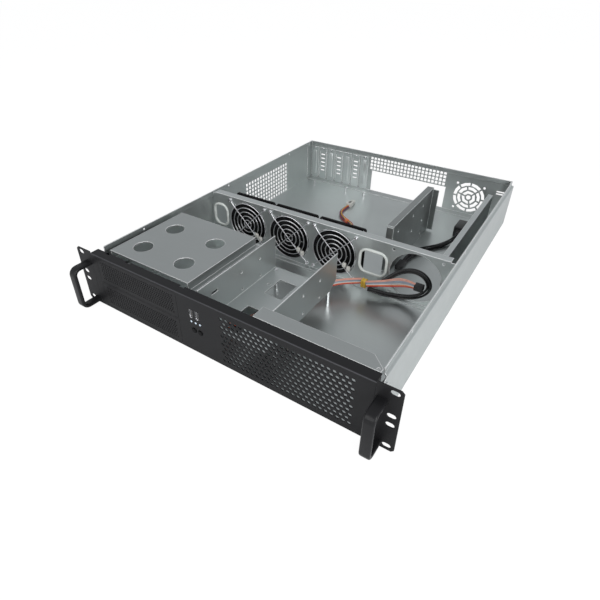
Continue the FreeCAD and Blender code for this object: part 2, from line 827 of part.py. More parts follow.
def make_rack_ear():
    wires = [outline("XZ", [(ear_x, 0), (ear_outer - ear_corner, 0), (ear_outer, ear_corner),
                            (ear_outer, panel_height - ear_corner), (ear_outer - ear_corner, panel_height),
                            (ear_x, panel_height)], 0)]
    for unit in range(rack_units):
        for z in (rack_hole_edge, rack_unit - rack_hole_edge):
            wires.append(rack_slot(ear_outer - rack_slot_edge, unit * rack_unit + z - rack_low))
    for z in handle_screw_z:
        wires.append(faceted("XZ", handle_x + handle_w / 2, z, handle_screw_r + screw_fit, 0, 6))
    face = plate("XZ", wires, 0, front_sheet)
    high = body_height - ear_leg_down
    leg_wires = [outline("YZ", rectangle(front_sheet / 2, ear_leg, ear_leg_low, high), ear_x)]
    leg_wires.append(faceted("YZ", ear_screw_y, ear_screw_z, ear_screw_r, ear_x, 6))
    leg = plate("YZ", leg_wires, ear_x, wall_in)
    return joined(face, leg)


def make_handle():
    """A flat bar bent to a U, standing on the front of the ear."""
    path = [(0, handle_high), (-handle_reach, handle_high), (-handle_reach, handle_low), (0, handle_low)]
    return folded("YZ", path, handle_t, handle_x, handle_x + handle_w, handle_inner_r)


def make_handle_screws(side):
    """Two screws from behind the ear into the feet of the handle."""
    x = handle_x + handle_w / 2
    screws = []
    for z in handle_screw_z:
        shank = bar("XZ", x, z, handle_screw_r, 0, front_sheet, 6)
        head = bar("XZ", x, z, handle_screw_head, front_sheet, front_sheet + handle_screw_head_t, 6)
        screws.append(joined(shank, head))
    group = Part.makeCompound(screws)
    return group if side > 0 else mirrored(group)


def make_ear_screws():
    """The screws that fix both ears through the side walls."""
    shank = bar("YZ", ear_screw_y, ear_screw_z, ear_screw_r - screw_fit, ear_x - ear_screw_past, body_half, 6)
    head = bar("YZ", ear_screw_y, ear_screw_z, ear_screw_head, body_half, body_half + ear_screw_head_t)
    screw = joined(shank, head)
    return Part.makeCompound([screw, mirrored(screw)])


# ---------------------------------------------------------------- 5.25-inch cage
def make_cage_frame():
    path = [(cage_left + cage_rim_w, cage_rim), (cage_left, cage_rim), (cage_left, floor),
            (cage_right, floor), (cage_right, cage_rim), (cage_right - cage_rim_w, cage_rim)]
    cage = folded("XZ", path, sheet, cage_front, cage_rear, 0)
    half = cage_slot_long / 2
    high = cage_slot_high / 2
    cutters = []
    for x in (cage_left, cage_right - sheet):
        for z in cage_slot_z:
            for y in [cage_front + along for along in cage_slot_y]:
                cutters.append(block(x - 1, x + sheet + 1, y - half, y + half, z - high, z + high))
    x0, x1, y0, y1 = cage_window
    cutters.append(block(cage_left + x0, cage_left + x1, cage_front + y0, cage_front + y1, 0, floor + sheet + 1))
    return cage.cut(Part.makeCompound(cutters))


def make_cage_cover():
    """A shallow lid on the cage's rims, with two pairs of round holes."""
    left = cage_left + cage_rim_w
    right = cage_right - cage_rim_w
    high = body_height - sheet
    path = [(cage_left + fit, cage_rim), (left, cage_rim), (left, high),
            (right, high), (right, cage_rim), (cage_right - fit, cage_rim)]
    cover = folded("XZ", path, sheet, cage_front + cover_inset, cage_rear - cover_inset, 0)
    middle_x = (cage_left + cage_right) / 2 + cover_hole_shift[0]
    middle_y = (cage_front + cage_rear) / 2 + cover_hole_shift[1]
    cutters = []
    for dx in (-cover_hole_apart_x / 2, cover_hole_apart_x / 2):
        for dy in (-cover_hole_apart_y / 2, cover_hole_apart_y / 2):
            cutters.append(bar("XY", middle_x + dx, middle_y + dy, cover_hole_r, high - 1, body_height + 1, 20))
    return cover.cut(Part.makeCompound(cutters))


# ---------------------------------------------------------------- middle drive tray
def make_drive_tray():
    low = tray_deck - sheet
    rear = tray_rear + tray_right_more
    path = [(tray_left, tray_top), (tray_left, low), (tray_right, low), (tray_right, tray_top)]
    tray = folded("XZ", path, sheet, tray_front, rear, 0)
    under = low - 1
    over = tray_deck + 1
    wall_line = tray_right - sheet
    deck_end = [(tray_rear, under), (rear + 1, under), (rear + 1, tray_top + 1), (tray_rear, tray_top + 1)]
    cutters = [prism("YZ", deck_end, tray_left - 1, wall_line)]
    front = rectangle(tray_front - 1, tray_front + tray_right_front, over + 1, tray_top + 1)
    cutters.append(prism("YZ", front, wall_line, tray_right + 1))
    corner = [(rear - tray_chamfer_y, under), (rear + 1, under), (rear + 1, low + tray_chamfer_z), (rear, low + tray_chamfer_z)]
    cutters.append(prism("YZ", corner, wall_line - 1, tray_right + 1))
    for x0, x1, y0, y1 in (tray_notch, tray_cable_hole):
        cutters.append(block(tray_left + x0, tray_left + x1, tray_front + y0, tray_front + y1, under, over))
    cutters.append(bar("XY", tray_left + tray_hole[0], tray_front + tray_hole[1], tray_hole_r + 1, under, over))
    for x in (tray_left - 1, wall_line - 1):
        for y in [tray_front + along for along in tray_side_y]:
            for z in [tray_deck + up for up in tray_side_z]:
                cutters.append(bar("YZ", y, z, tray_hole_r, x, x + sheet + 2, 6))
        y = tray_front + tray_side_slot[0]
        z = tray_deck + tray_side_slot[1]
        cutters.append(block(x, x + sheet + 2, y - 3 * tray_hole_r, y + 3 * tray_hole_r, z - tray_hole_r, z + tray_hole_r))
    for x, y in tray_pillars:
        cutters.append(bar("XY", tray_left + x, tray_front + y, tray_screw_r + screw_fit, under, over, 6))
    return tray.cut(Part.makeCompound(cutters))


def make_tray_pillars():
    """Posts under the deck, each with the screw that holds the deck down."""
    low = tray_deck - sheet
    pillars = []
    for along, back in tray_pillars:
        x = tray_left + along
        y = tray_front + back
        post = bar("XY", x, y, tray_pillar_r, floor, low)
        screw = bar("XY", x, y, tray_screw_r, low, tray_deck, 6)
        head = bar("XY", x, y, tray_screw_head, tray_deck, tray_deck + tray_screw_head_t, 6)
        pillars.append(joined(post, screw, head))
    return Part.makeCompound(pillars)


# ---------------------------------------------------------------- front cross member
def make_cross_member():
    """An angle behind the bezel's top flange, from over the tray to the right wall."""
    y = bezel_top_flange + fit
    rear = y + member_depth
    end = top_in - fit
    path = [(rear, body_height), (y, body_height), (y, body_height - member_web)]
    web = folded("YZ", path, sheet, member_left, end, 0)
    corner = [(end - member_corner, rear + 1), (end - member_corner, rear), (end, rear - member_corner_depth),
              (end + 1, rear - member_corner_depth), (end + 1, rear + 1)]
    low = body_height - sheet - 1
    web = web.cut(prism("XY", corner, low, body_height + 1))
    return web.cut(bar("XY", end - member_hole[0], y + member_hole[1], member_hole_r, low, body_height + 1))


# ---------------------------------------------------------------- fan wall
def fan_screw_places(x):
    """The four screw places of a fan whose shaft is at x."""
    reach = fan_hole_pitch / 2
    return [(x + dx, fan_z + dz) for dx in (-reach, reach) for dz in (-reach, reach)]


def make_fan_wall():
    y = wall_front
    step = top_in - fit
    face = [(-wall_half, floor), (wall_half, floor), (wall_half, lid_step_low - wall_step_fit), (step, lid_step_low),
            (step, body_height - sheet), (-step, body_height - sheet), (-step, lid_step_low),
            (-wall_half, lid_step_low - wall_step_fit)]
    wires = [outline("XZ", face, y)]
    for x in fan_x + [spare_fan_x]:
        wires.append(faceted("XZ", x, fan_z, fan_bore_r, y, fan_bore_sides))
    for x in fan_x:
        for u, v in fan_screw_places(x):
            wires.append(faceted("XZ", u, v, fan_hole_r, y, 6))
    for u, v in fan_screw_places(spare_fan_x):
        wires.append(ring("XZ", u, v, fan_hole_r, y))
    for x0, x1 in (cable_hole_left, cable_hole_mid):
        wires.append(chamfered(x0, x1, *cable_hole_z, cable_hole_cut, y))
    wall = plate("XZ", wires, y, y + sheet)
    top = block(-wall_flange_half, wall_flange_half, y, y + wall_flange, body_height - sheet, body_height)
    foot = block(-wall_flange_half, wall_flange_half, y - wall_foot, y, floor, floor + sheet)
    return joined(wall, top, foot)


def make_cable_edging(span):
    """A white strip round the edge of a cable opening."""
    x0, x1 = span
    z0, z1 = cable_hole_z
    y = wall_front + sheet / 2 - edging_w / 2
    outer = chamfered(x0, x1, z0, z1, cable_hole_cut, y)
    inner_cut = cable_hole_cut - edging_t * (2 - math.sqrt(2))
    inner = chamfered(x0 + edging_t, x1 - edging_t, z0 + edging_t, z1 - edging_t, inner_cut, y)
    return plate("XZ", [outer, inner], y, y + edging_w)


def make_fan_frame(x):
    y0 = fan_back
    y1 = fan_back + fan_depth
    half = fan_size / 2
    corner = fan_corner * (2 - math.sqrt(2))
    plates = []
    for w in (y0, y1 - fan_flange_t):
        wires = [chamfered(x - half, x + half, fan_z - half, fan_z + half, corner, w)]
        wires.append(faceted("XZ", x, fan_z, fan_bore_r, w, fan_bore_sides))
        wires += [faceted("XZ", u, v, fan_hole_r, w, 6) for u, v in fan_screw_places(x)]
        plates.append(plate("XZ", wires, w, w + fan_flange_t))
    duct_wires = [faceted("XZ", x, fan_z, r, y0 + fan_flange_t, fan_bore_sides) for r in (half, fan_bore_r)]
    duct = plate("XZ", duct_wires, y0 + fan_flange_t, y1 - fan_flange_t)
    hub = bar("XZ", x, fan_z, fan_hub_r - 0.5, y1 - fan_hub_plate, y1, fan_hub_sides)
    bearing = bar("XZ", x, fan_z, fan_bearing_r, y0 + fan_bearing_front, y1 - fan_hub_plate)
    struts = []
    for n in range(4):
        strut = block(x + fan_hub_r - 2, x + fan_bore_r + 0.5, y1 - fan_hub_plate, y1,
                      fan_z - fan_strut_w / 2, fan_z + fan_strut_w / 2)
        strut.rotate(FreeCAD.Vector(x, 0, fan_z), FreeCAD.Vector(0, 1, 0), 90 * n + fan_strut_turn)
        struts.append(strut)
    frame = joined(*plates, duct, hub, bearing, *struts)
    return frame.cut(rod("XZ", x, fan_z, fan_shaft_r + fan_shaft_fit, y0, y1 + 1))


def blade_corners(x, y, radius, chord, pitch):
    """The corners of a blade's section, in the plane that touches a cylinder round the shaft."""
    c = math.cos(pitch)
    s = math.sin(pitch)
    corners = []
    for along, across in ((-0.5, -0.5), (0.5, -0.5), (0.5, 0.5), (-0.5, 0.5)):
        u = along * chord * c - across * fan_blade_t * s
        a = along * chord * s + across * fan_blade_t * c
        corners.append(FreeCAD.Vector(x + u, y + a, fan_z + radius))
    return corners


def make_blade(x, middle):
    """A twisted blade, closed by flat triangles between its root and its tip."""
    root = blade_corners(x, middle, fan_hub_r - fan_hub_wall / 2, *fan_blade_root)
    tip = blade_corners(x, middle, fan_bore_r - fan_tip_gap, *fan_blade_tip)
    triangles = [(root[0], root[1], root[2]), (root[0], root[2], root[3]),
                 (tip[0], tip[2], tip[1]), (tip[0], tip[3], tip[2])]
    for i in range(4):
        j = (i + 1) % 4
        triangles.append((root[i], tip[i], root[j]))
        triangles.append((root[j], tip[i], tip[j]))
    faces = [Part.Face(Part.makePolygon([a, b, c, a])) for a, b, c in triangles]
    blade = Part.Solid(Part.Shell(faces))
    if blade.Volume < 0:
        blade.reverse()
    return blade


def make_fan_rotor(x):
    """A cup with seven twisted blades round it and the shaft inside it."""
    y0 = fan_back + fan_rotor_front
    y1 = fan_back + fan_depth - fan_rotor_rear
    hub = bar("XZ", x, fan_z, fan_hub_r, y0, y1, fan_hub_sides)
    blade = make_blade(x, (y0 + y1) / 2)
    for n in range(fan_blades):
        turned = blade.copy()
        turned.rotate(FreeCAD.Vector(x, 0, fan_z), FreeCAD.Vector(0, 1, 0), 360 * n / fan_blades)
        hub = hub.fuse(turned)
    cup = y0 + fan_cup_t
    hub = hub.cut(bar("XZ", x, fan_z, fan_hub_r - fan_hub_wall, cup, y1 + 1, fan_hub_sides))
    return joined(hub, rod("XZ", x, fan_z, fan_shaft_r, cup, fan_back + fan_depth - fan_shaft_short))


def make_fan_guard(x):
    """Wire rings on four arms, with an eye for a screw at each corner."""
    y2 = wall_front
    y1 = y2 - guard_wire
    y0 = y1 - guard_wire
    half = guard_wire / 2
    pieces = []
    for n, radius in enumerate(guard_rings):
        sides = guard_sides + 2 * n
        wires = [faceted("XZ", x, fan_z, radius + half, y0, sides), faceted("XZ", x, fan_z, radius - half, y0, sides)]
        pieces.append(plate("XZ", wires, y0, y1))
    arm_end = fan_hole_pitch / math.sqrt(2) - guard_eye_hole - guard_wire / 4
    for n, (u, v) in enumerate(fan_screw_places(x)):
        eye = plate("XZ", [faceted("XZ", u, v, guard_eye, y1, 6), faceted("XZ", u, v, guard_eye_hole, y1, 6)], y1, y2)
        arm = block(x + guard_rings[0] / 2, x + arm_end, y1, y2, fan_z - half, fan_z + half)
        turn = math.degrees(math.atan2(v - fan_z, u - x))
        arm.rotate(FreeCAD.Vector(x, 0, fan_z), FreeCAD.Vector(0, 1, 0), -turn)
        pieces += [eye, arm]
    return joined(*pieces)


def make_fan_screws():
    """Screws through each guard, the wall and the fan's front flange."""
    front = wall_front - guard_wire
    screws = []
    for x in fan_x:
        for u, v in fan_screw_places(x):
            head = bar("XZ", u, v, fan_screw_head, front - fan_screw_head_t, front, 6)
            shank = bar("XZ", u, v, fan_screw_r, front, fan_back + fan_flange_t + fan_screw_past, 6)
            screws.append(joined(head, shank))
    return Part.makeCompound(screws)


# ---------------------------------------------------------------- power supply bay
def make_psu_divider():
    """A folded wall with flanges all round, between the board and the power supply."""
    x0 = divider_x - sheet / 2
    x1 = divider_x + sheet / 2
    front_low = floor + divider_flange_step
    front_high = divider_top - divider_flange_step
    body = folded("XZ", [(x1, floor), (x1, divider_top), (x0 - divider_flange, divider_top)], sheet,
                  divider_front, divider_rear, 0)
    foot = block(x0 - divider_flange, x0, divider_front, divider_rear, floor, floor + sheet)
    front = block(x0 - divider_flange, x0, divider_front, divider_front + sheet, front_low, front_high)
    rear = block(x1, x1 + divider_flange, divider_rear - sheet, divider_rear, front_low, front_high)
    divider = joined(body, foot, front, rear)
    cutters = []
    for along, z in divider_holes:
        cutters.append(bar("YZ", divider_front + along, z, divider_hole_r, x0 - 1, x1 + 1, 6))
    return divider.cut(Part.makeCompound(cutters))


def make_psu_rail():
    path = [(rail_x - rail_flange, rail_high - sheet), (rail_x, rail_high - sheet), (rail_x, floor),
            (rail_x + rail_foot, floor)]
    return folded("XZ", path, sheet, rail_front, rail_rear, 0)


def make_standoffs():
    """Hexagonal posts for the board, in three rows, each with its threaded bore."""
    posts = []
    for x in [-wall_in + across for across in standoff_columns]:
        for y in [rear_in - forward for forward in standoff_rows]:
            wires = [faceted("XY", x, y, radius, floor, standoff_sides) for radius in (standoff_r, standoff_bore)]
            posts.append(plate("XY", wires, floor, floor + standoff_high))
    return Part.makeCompound(posts)


# ---------------------------------------------------------------- wiring
def tube(name, route, radius):
    """A cord as straight runs joined by arcs as large as the runs allow."""
    points = [FreeCAD.Vector(*point) for point in route]
    edges = []
    start = points[0]
    bends = []
    for i in range(1, len(points) - 1):
        back = points[i - 1] - points[i]
        on = points[i + 1] - points[i]
        run = cord_arc_share * min(back.Length, on.Length)
        back.normalize()
        on.normalize()
        turn = math.pi - back.getAngle(on)
        inner_r = run / math.tan(turn / 2)
        middle = back + on
        middle.normalize()
        first = points[i] + back * run
        last = points[i] + on * run
        crown = points[i] + middle * (inner_r / math.cos(turn / 2) - inner_r)
        edges.append(Part.makeLine(start, first))
        edges.append(Part.Arc(first, crown, last).toShape())
        bends.append(round(inner_r))
        start = last
    edges.append(Part.makeLine(start, points[-1]))
    path = Part.Wire(edges)
    flats = cord_sides * math.sin(2 * math.pi / cord_sides) / 2
    reach = radius * math.sqrt(math.pi / flats)
    along = points[1] - points[0]
    across = along.cross(FreeCAD.Vector(0, 0, 1))
    across.normalize()
    corners = []
    for n in range(cord_sides):
        turned = FreeCAD.Rotation(along, 360 * (n + 0.5) / cord_sides).multVec(across)
        corners.append(points[0] + turned * reach)
    section = Part.makePolygon(corners + corners[:1])
    solid = path.makePipeShell([section], True, False)
    share = solid.Volume / (math.pi * radius * radius * path.Length)
    print(name, "length", round(path.Length, 1), "bend radii", bends, "volume over section times length", round(share, 3))
    return solid


def end_piece(point, size, toward):
    """A plug or socket on the end of a cord, resting on the floor or standing beyond the end."""
    x, y, z = point
    width, depth, high = size
    low = max(floor, z - high / 2)
    y0 = y if toward > 0 else y - depth
    return block(x - width / 2, x + width / 2, y0, y0 + depth, low, low + high)


def make_harness_tie():
    x, y, z = tie_corner
    width, depth, high = tie_size
    return block(x, x + width, y, y + depth, z, z + high)


def make_wires_plug():
    """The small connectors on the ends of the front wires."""
    x, y, z = wires_route[-1]
    width, depth, high = wires_plug
    return block(x, x + width, y - depth / 2, y + depth / 2, z - high / 2, z + high / 2)


# ---------------------------------------------------------------- write the nodes
save("chassis_tray", make_chassis_tray())
save("rear_panel", make_rear_panel())
save("front_bezel", make_front_bezel())
save("bay_cover_lower", make_bay_cover(0))
save("bay_cover_upper", make_bay_cover(1))
save("front_io_board", make_front_io_board())
save("front_io_bracket", make_front_io_bracket())
save("usb_port_left", make_usb_port(0))
save("usb_port_right", make_usb_port(1))
save("status_lamps", make_leds())
save("power_button", make_button(button_x[0]))
save("reset_button", make_button(button_x[1]))
save("front_switches", make_switches())
save("harness_plug", make_harness_plug())
save("rack_ear_right", make_rack_ear())
save("rack_ear_left", mirrored(make_rack_ear()))
save("handle_right", make_handle())
save("handle_left", mirrored(make_handle()))
save("handle_screws_right", make_handle_screws(1))
save("handle_screws_left", make_handle_screws(-1))
save("ear_screws", make_ear_screws())
save("cage_frame", make_cage_frame())
save("cage_cover", make_cage_cover())
save("drive_tray", make_drive_tray())
save("tray_pillars", make_tray_pillars())
save("front_cross_member", make_cross_member())
save("fan_wall", make_fan_wall())
save("cable_edging_left", make_cable_edging(cable_hole_left))
save("cable_edging_middle", make_cable_edging(cable_hole_mid))
for n, x in enumerate(fan_x):
    save("fan_frame_" + str(n + 1), make_fan_frame(x))
    save("fan_rotor_" + str(n + 1), make_fan_rotor(x))
    save("fan_guard_" + str(n + 1), make_fan_guard(x))
save("fan_screws", make_fan_screws())
for n in range(slot_count):
    save("slot_cover_" + str(n + 1), make_slot_cover(n))
save("slot_screws", make_slot_screws())
save("psu_divider", make_psu_divider())
save("psu_rail", make_psu_rail())
save("board_standoffs", make_standoffs())
save("front_harness", tube("front_harness", harness_route, harness_r).cut(make_harness_plug()))
save("harness_tie", make_harness_tie())
save("harness_loop", tube("harness_loop", loop_route, loop_r))
save("harness_wires", tube("harness_wires", wires_route, wires_r))
save("harness_wires_plug", make_wires_plug())
fan_connector = end_piece(fan_lead_route[-1], fan_lead_plug, 1)
save("fan_lead", tube("fan_lead", fan_lead_route, fan_lead_r).cut(make_fan_frame(fan_x[-1])).cut(fan_connector))
save("fan_lead_plug", fan_connector)
supply_plug = end_piece(lead_route[0], lead_plug, 1)
supply_socket = end_piece(lead_route[-1], lead_socket, -1)
save("power_lead", tube("power_lead", lead_route, lead_r).cut(supply_plug).cut(supply_socket))
save("power_lead_plug", supply_plug)
save("power_lead_socket", supply_socket)
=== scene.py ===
import math

import bmesh
import bpy
from mathutils import Matrix, Vector


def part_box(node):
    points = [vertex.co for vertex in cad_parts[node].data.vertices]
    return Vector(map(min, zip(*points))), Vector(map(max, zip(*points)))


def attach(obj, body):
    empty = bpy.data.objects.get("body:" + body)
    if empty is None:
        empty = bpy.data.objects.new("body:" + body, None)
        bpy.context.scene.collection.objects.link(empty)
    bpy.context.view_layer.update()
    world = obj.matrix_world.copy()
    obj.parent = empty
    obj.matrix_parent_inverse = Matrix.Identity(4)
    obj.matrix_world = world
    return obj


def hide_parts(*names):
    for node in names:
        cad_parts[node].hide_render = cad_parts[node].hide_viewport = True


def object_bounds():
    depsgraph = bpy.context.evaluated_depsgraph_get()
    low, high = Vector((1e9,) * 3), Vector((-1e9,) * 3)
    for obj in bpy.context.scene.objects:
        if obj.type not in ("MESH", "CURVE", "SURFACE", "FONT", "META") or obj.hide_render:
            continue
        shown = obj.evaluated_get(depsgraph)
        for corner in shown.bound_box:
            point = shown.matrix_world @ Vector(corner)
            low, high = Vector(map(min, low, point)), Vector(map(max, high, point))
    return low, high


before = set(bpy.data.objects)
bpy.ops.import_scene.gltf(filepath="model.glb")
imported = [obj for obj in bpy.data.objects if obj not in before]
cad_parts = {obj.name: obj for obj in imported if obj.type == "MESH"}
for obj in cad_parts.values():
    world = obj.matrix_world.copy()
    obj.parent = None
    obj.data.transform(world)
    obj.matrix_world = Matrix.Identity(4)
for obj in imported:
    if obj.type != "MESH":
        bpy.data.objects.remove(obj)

bl_info = {
    "name": "Rack case dresser",
    "version": (1, 0, 0),
    "blender": (4, 5, 0),
    "location": "3D View > Sidebar > Rack case",
    "description": "Dresses an empty 2U server case with finishes, covers, fans, wiring and a stage",
    "category": "Object",
}

MM = 0.001
CAD_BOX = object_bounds()
CASE = "case"
WELD = 0.002 * MM             # corners nearer than this are one corner


# ---- properties of the operators
def length(name, millimetres):
    return bpy.props.FloatProperty(name=name, unit="LENGTH", default=millimetres * MM)


def lengths(name, *millimetres):
    default = tuple(each * MM for each in millimetres)
    return bpy.props.FloatVectorProperty(name=name, size=len(default), unit="LENGTH", default=default)


def count(name, number):
    return bpy.props.IntProperty(name=name, default=number)


def degrees(name, number):
    return bpy.props.FloatProperty(name=name, subtype="ANGLE", default=math.radians(number))


# ---- sizes and colours
class CasePaints(bpy.types.PropertyGroup):
    """Colours that a user would change."""
    steel: bpy.props.FloatVectorProperty(
        name="Steel", description="Zinc-plated sheet steel", subtype="COLOR", size=3,
        default=(0.50, 0.53, 0.525), min=0, max=1)
    coat: bpy.props.FloatVectorProperty(
        name="Coat", description="Powder coat of the front", subtype="COLOR", size=3,
        default=(0.010, 0.010, 0.011), min=0, max=1)
    plastic: bpy.props.FloatVectorProperty(
        name="Plastic", description="Black mouldings of the fans", subtype="COLOR", size=3,
        default=(0.012, 0.012, 0.013), min=0, max=1)
    edging: bpy.props.FloatVectorProperty(
        name="Edging", description="Strip round the cable openings", subtype="COLOR", size=3,
        default=(0.62, 0.65, 0.62), min=0, max=1)
    tape: bpy.props.FloatVectorProperty(
        name="Tape", description="Tape round the front wires", subtype="COLOR", size=3,
        default=(0.62, 0.40, 0.05), min=0, max=1)
    floor: bpy.props.FloatVectorProperty(
        name="Floor", description="Studio floor and backdrop", subtype="COLOR", size=3,
        default=(0.88, 0.88, 0.88), min=0, max=1)


class CaseSizes(bpy.types.PropertyGroup):
    """Sizes that a user would change."""
    cover_hole: bpy.props.FloatProperty(
        name="Cover hole", description="Width of a hole in the bay covers", unit="LENGTH", default=2.3 * MM)
    cover_pitch: bpy.props.FloatProperty(
        name="Cover pitch", description="Distance between holes in the bay covers",
        unit="LENGTH", default=3.7 * MM)
    guard_wire: bpy.props.FloatProperty(
        name="Guard wire", description="Diameter of the fan guards' wire", unit="LENGTH", default=1.5 * MM)
    thin_wire: bpy.props.FloatProperty(
        name="Thin wire", description="Diameter of one insulated wire", unit="LENGTH", default=1.5 * MM)
    black_cable: bpy.props.FloatProperty(
        name="Black cable", description="Diameter of one cable of the loop", unit="LENGTH", default=3.0 * MM)
    ease: bpy.props.FloatProperty(
        name="Eased edge", description="Width of the break on a punched edge",
        unit="LENGTH", default=0.12 * MM)


# ---- materials
class Value:
    """A number given by a node, so that a sum on it adds Math nodes."""

    def __init__(self, finish, socket):
        self.finish = finish
        self.socket = socket

    def _math(self, operation, *terms, clamp=False):
        settings = {"operation": operation, "use_clamp": clamp}
        return self.finish.value("ShaderNodeMath", settings, dict(enumerate(terms)))

    def __add__(self, other):
        return self._math("ADD", self, other)

    def __radd__(self, other):
        return self._math("ADD", other, self)

    def __sub__(self, other):
        return self._math("SUBTRACT", self, other)

    def __rsub__(self, other):
        return self._math("SUBTRACT", other, self)

    def __mul__(self, other):
        return self._math("MULTIPLY", self, other)

    def clamped(self):
        return self._math("ADD", self, 0.0, clamp=True)


class Finish:
    """The node tree of one material."""

    def __init__(self, name):
        self.material = bpy.data.materials.new(name)
        self.material.use_nodes = True
        self.tree = self.material.node_tree
        self.tree.nodes.clear()
        self.shader = self.node("ShaderNodeBsdfPrincipled")
        self.out = self.node("ShaderNodeOutputMaterial", {}, {"Surface": self.shader.outputs[0]})
        self.place = self.node("ShaderNodeTexCoord").outputs["Object"]

    def node(self, kind, settings=None, inputs=None):
        """Add a node: its settings first, then the values or links of its sockets."""
        made = self.tree.nodes.new(kind)
        for key, setting in (settings or {}).items():
            setattr(made, key, setting)
        for key, given in (inputs or {}).items():
            self.feed(made.inputs[key], given)
        return made

    def feed(self, socket, given):
        """Set a socket, or link it."""
        if isinstance(given, Value):
            given = given.socket
        if isinstance(given, bpy.types.NodeSocket):
            self.tree.links.new(given, socket)
        elif socket.type == "RGBA" and len(given) == 3:
            socket.default_value = (*given, 1.0)
        else:
            socket.default_value = given

    def value(self, kind, settings=None, inputs=None, output=0):
        return Value(self, self.node(kind, settings, inputs).outputs[output])

    def scaled(self, stretch):
        """Object coordinates in millimetres, divided by stretch along each axis."""
        scale = tuple(1000.0 / s for s in stretch)
        return self.node("ShaderNodeMapping", {}, {"Vector": self.place, "Scale": scale}).outputs[0]

    def noise(self, stretch, detail=3.0, rough=0.5):
        """Noise from 0 to 1 whose blots are about stretch millimetres long on each axis."""
        inputs = {"Vector": self.scaled(stretch), "Scale": 1.0, "Detail": detail, "Roughness": rough}
        return self.value("ShaderNodeTexNoise", {}, inputs, "Fac")

    def blend(self, factor, first, second):
        """A colour between two colours."""
        inputs = {"Factor": factor, "A": first, "B": second}
        made = self.node("ShaderNodeMix", {"data_type": "RGBA"})
        for key, given in inputs.items():
            kind = "VALUE" if key == "Factor" else "RGBA"
            socket = next(s for s in made.inputs if s.name == key and s.type == kind)
            self.feed(socket, given)
        return next(s for s in made.outputs if s.type == "RGBA")

    def bump(self, height, distance, strength=1.0, over=None):
        """A normal bent by height, which is from 0 to 1, over distance in millimetres."""
        inputs = {"Height": height, "Distance": distance * MM, "Strength": strength}
        if over:
            inputs["Normal"] = over
        return self.node("ShaderNodeBump", {}, inputs).outputs[0]

    def edges(self, radius):
        """How near an edge is, from 0 to 1, and a normal that rounds the edge over radius in millimetres."""
        eased = self.node("ShaderNodeBevel", {"samples": 8}, {"Radius": radius * MM}).outputs[0]
        flat = self.node("ShaderNodeNewGeometry").outputs["True Normal"]
        alike = self.value("ShaderNodeVectorMath", {"operation": "DOT_PRODUCT"}, {0: eased, 1: flat}, "Value")
        return ((1 - alike) * 5).clamped(), eased

    def glow_for_camera(self, strength, share):
        """Mix in white light where the camera looks straight at the surface."""
        glow = self.node("ShaderNodeEmission", {}, {"Color": (1, 1, 1), "Strength": strength})
        path = self.node("ShaderNodeLightPath")
        seen = path.outputs["Is Camera Ray"]
        factor = self.value("ShaderNodeMath", {"operation": "MULTIPLY"}, {0: seen, 1: share})
        mix = self.node("ShaderNodeMixShader", {}, {0: factor, 1: self.shader.outputs[0], 2: glow.outputs[0]})
        self.feed(self.out.inputs["Surface"], mix.outputs[0])

    def set(self, **sockets):
        """Feed the shader's sockets, named with _ for a space."""
        for key, given in sockets.items():
            self.feed(self.shader.inputs[key.replace("_", " ")], given)
        return self.material


def shade(colour, factor):
    return tuple(min(1.0, c * factor) for c in colour)


def zinc_steel(name, colour, rough=0.34, along=(60, 3, 60)):
    """Satin zinc plate: a faint rolled grain, soft clouds, small smudges and a painted highlight along every
    edge.
    """
    f = Finish(name)
    grain = f.noise(along, 4.0, 0.6)
    clouds = f.noise((90, 70, 90), 2.0)
    smudges = f.noise((14, 14, 14), 4.0, 0.6)
    tone = (clouds - 0.5) * 0.5 + (grain - 0.5) * 0.35 + 0.5
    base = f.blend(tone.clamped(), shade(colour, 0.90), shade(colour, 1.10))
    # Painted highlight: near every edge the colour is lightened to almost white.
    edge, eased = f.edges(1.3)
    base = f.blend(edge, base, shade(colour, 3.0))
    roughness = rough + (smudges - 0.5) * 0.14 + (grain - 0.5) * 0.12
    # Less metallic near the edges, as part of the painted highlight.
    return f.set(Base_Color=base, Metallic=0.85 - edge * 0.7, Roughness=roughness,
                 Normal=f.bump(grain, 0.02, 0.35, eased))


def powder_coat(name, colour, rough=0.50):
    """Fine-textured black powder coat, with a painted highlight along its edges."""
    f = Finish(name)
    orange_peel = f.noise((0.9, 0.9, 0.9), 2.0)
    clouds = f.noise((60, 60, 60), 3.0)
    base = f.blend(clouds, shade(colour, 0.8), shade(colour, 1.25))
    # Painted highlight: the coat is lightened near every edge.
    edge, eased = f.edges(0.4)
    base = f.blend(edge, base, shade(colour, 2.5))
    roughness = rough + (orange_peel - 0.5) * 0.12 + (clouds - 0.5) * 0.1
    return f.set(Base_Color=base, Roughness=roughness, Specular_IOR_Level=0.24,
                 Normal=f.bump(orange_peel, 0.06, 0.35, eased))


def moulded(name, colour, rough=0.45, grain=0.5, shine=0.5):
    """Moulded plastic with a light spark-eroded grain."""
    f = Finish(name)
    speckle = f.noise((grain, grain, grain), 2.0)
    wide = f.noise((25, 25, 25), 2.0)
    base = f.blend(wide, shade(colour, 0.88), shade(colour, 1.12))
    return f.set(Base_Color=base, Roughness=rough + (speckle - 0.5) * 0.15, Specular_IOR_Level=shine,
                 Normal=f.bump(speckle, 0.03, 0.3))


def bright_metal(name, colour, rough=0.22):
    """Plated wire, screws and small shells."""
    f = Finish(name)
    wear = f.noise((3, 3, 3), 3.0)
    base = f.blend(wear, shade(colour, 0.85), shade(colour, 1.08))
    return f.set(Base_Color=base, Metallic=1.0, Roughness=rough + (wear - 0.5) * 0.14)


def insulation(name, colour, rough=0.38):
    """Thin extruded insulation with a faint waxy streak."""
    f = Finish(name)
    streak = f.noise((9, 9, 9), 2.0)
    base = f.blend(streak, shade(colour, 0.85), shade(colour, 1.1))
    return f.set(Base_Color=base, Roughness=rough + (streak - 0.5) * 0.14,
                 Normal=f.bump(f.noise((2, 2, 2)), 0.04, 0.3))


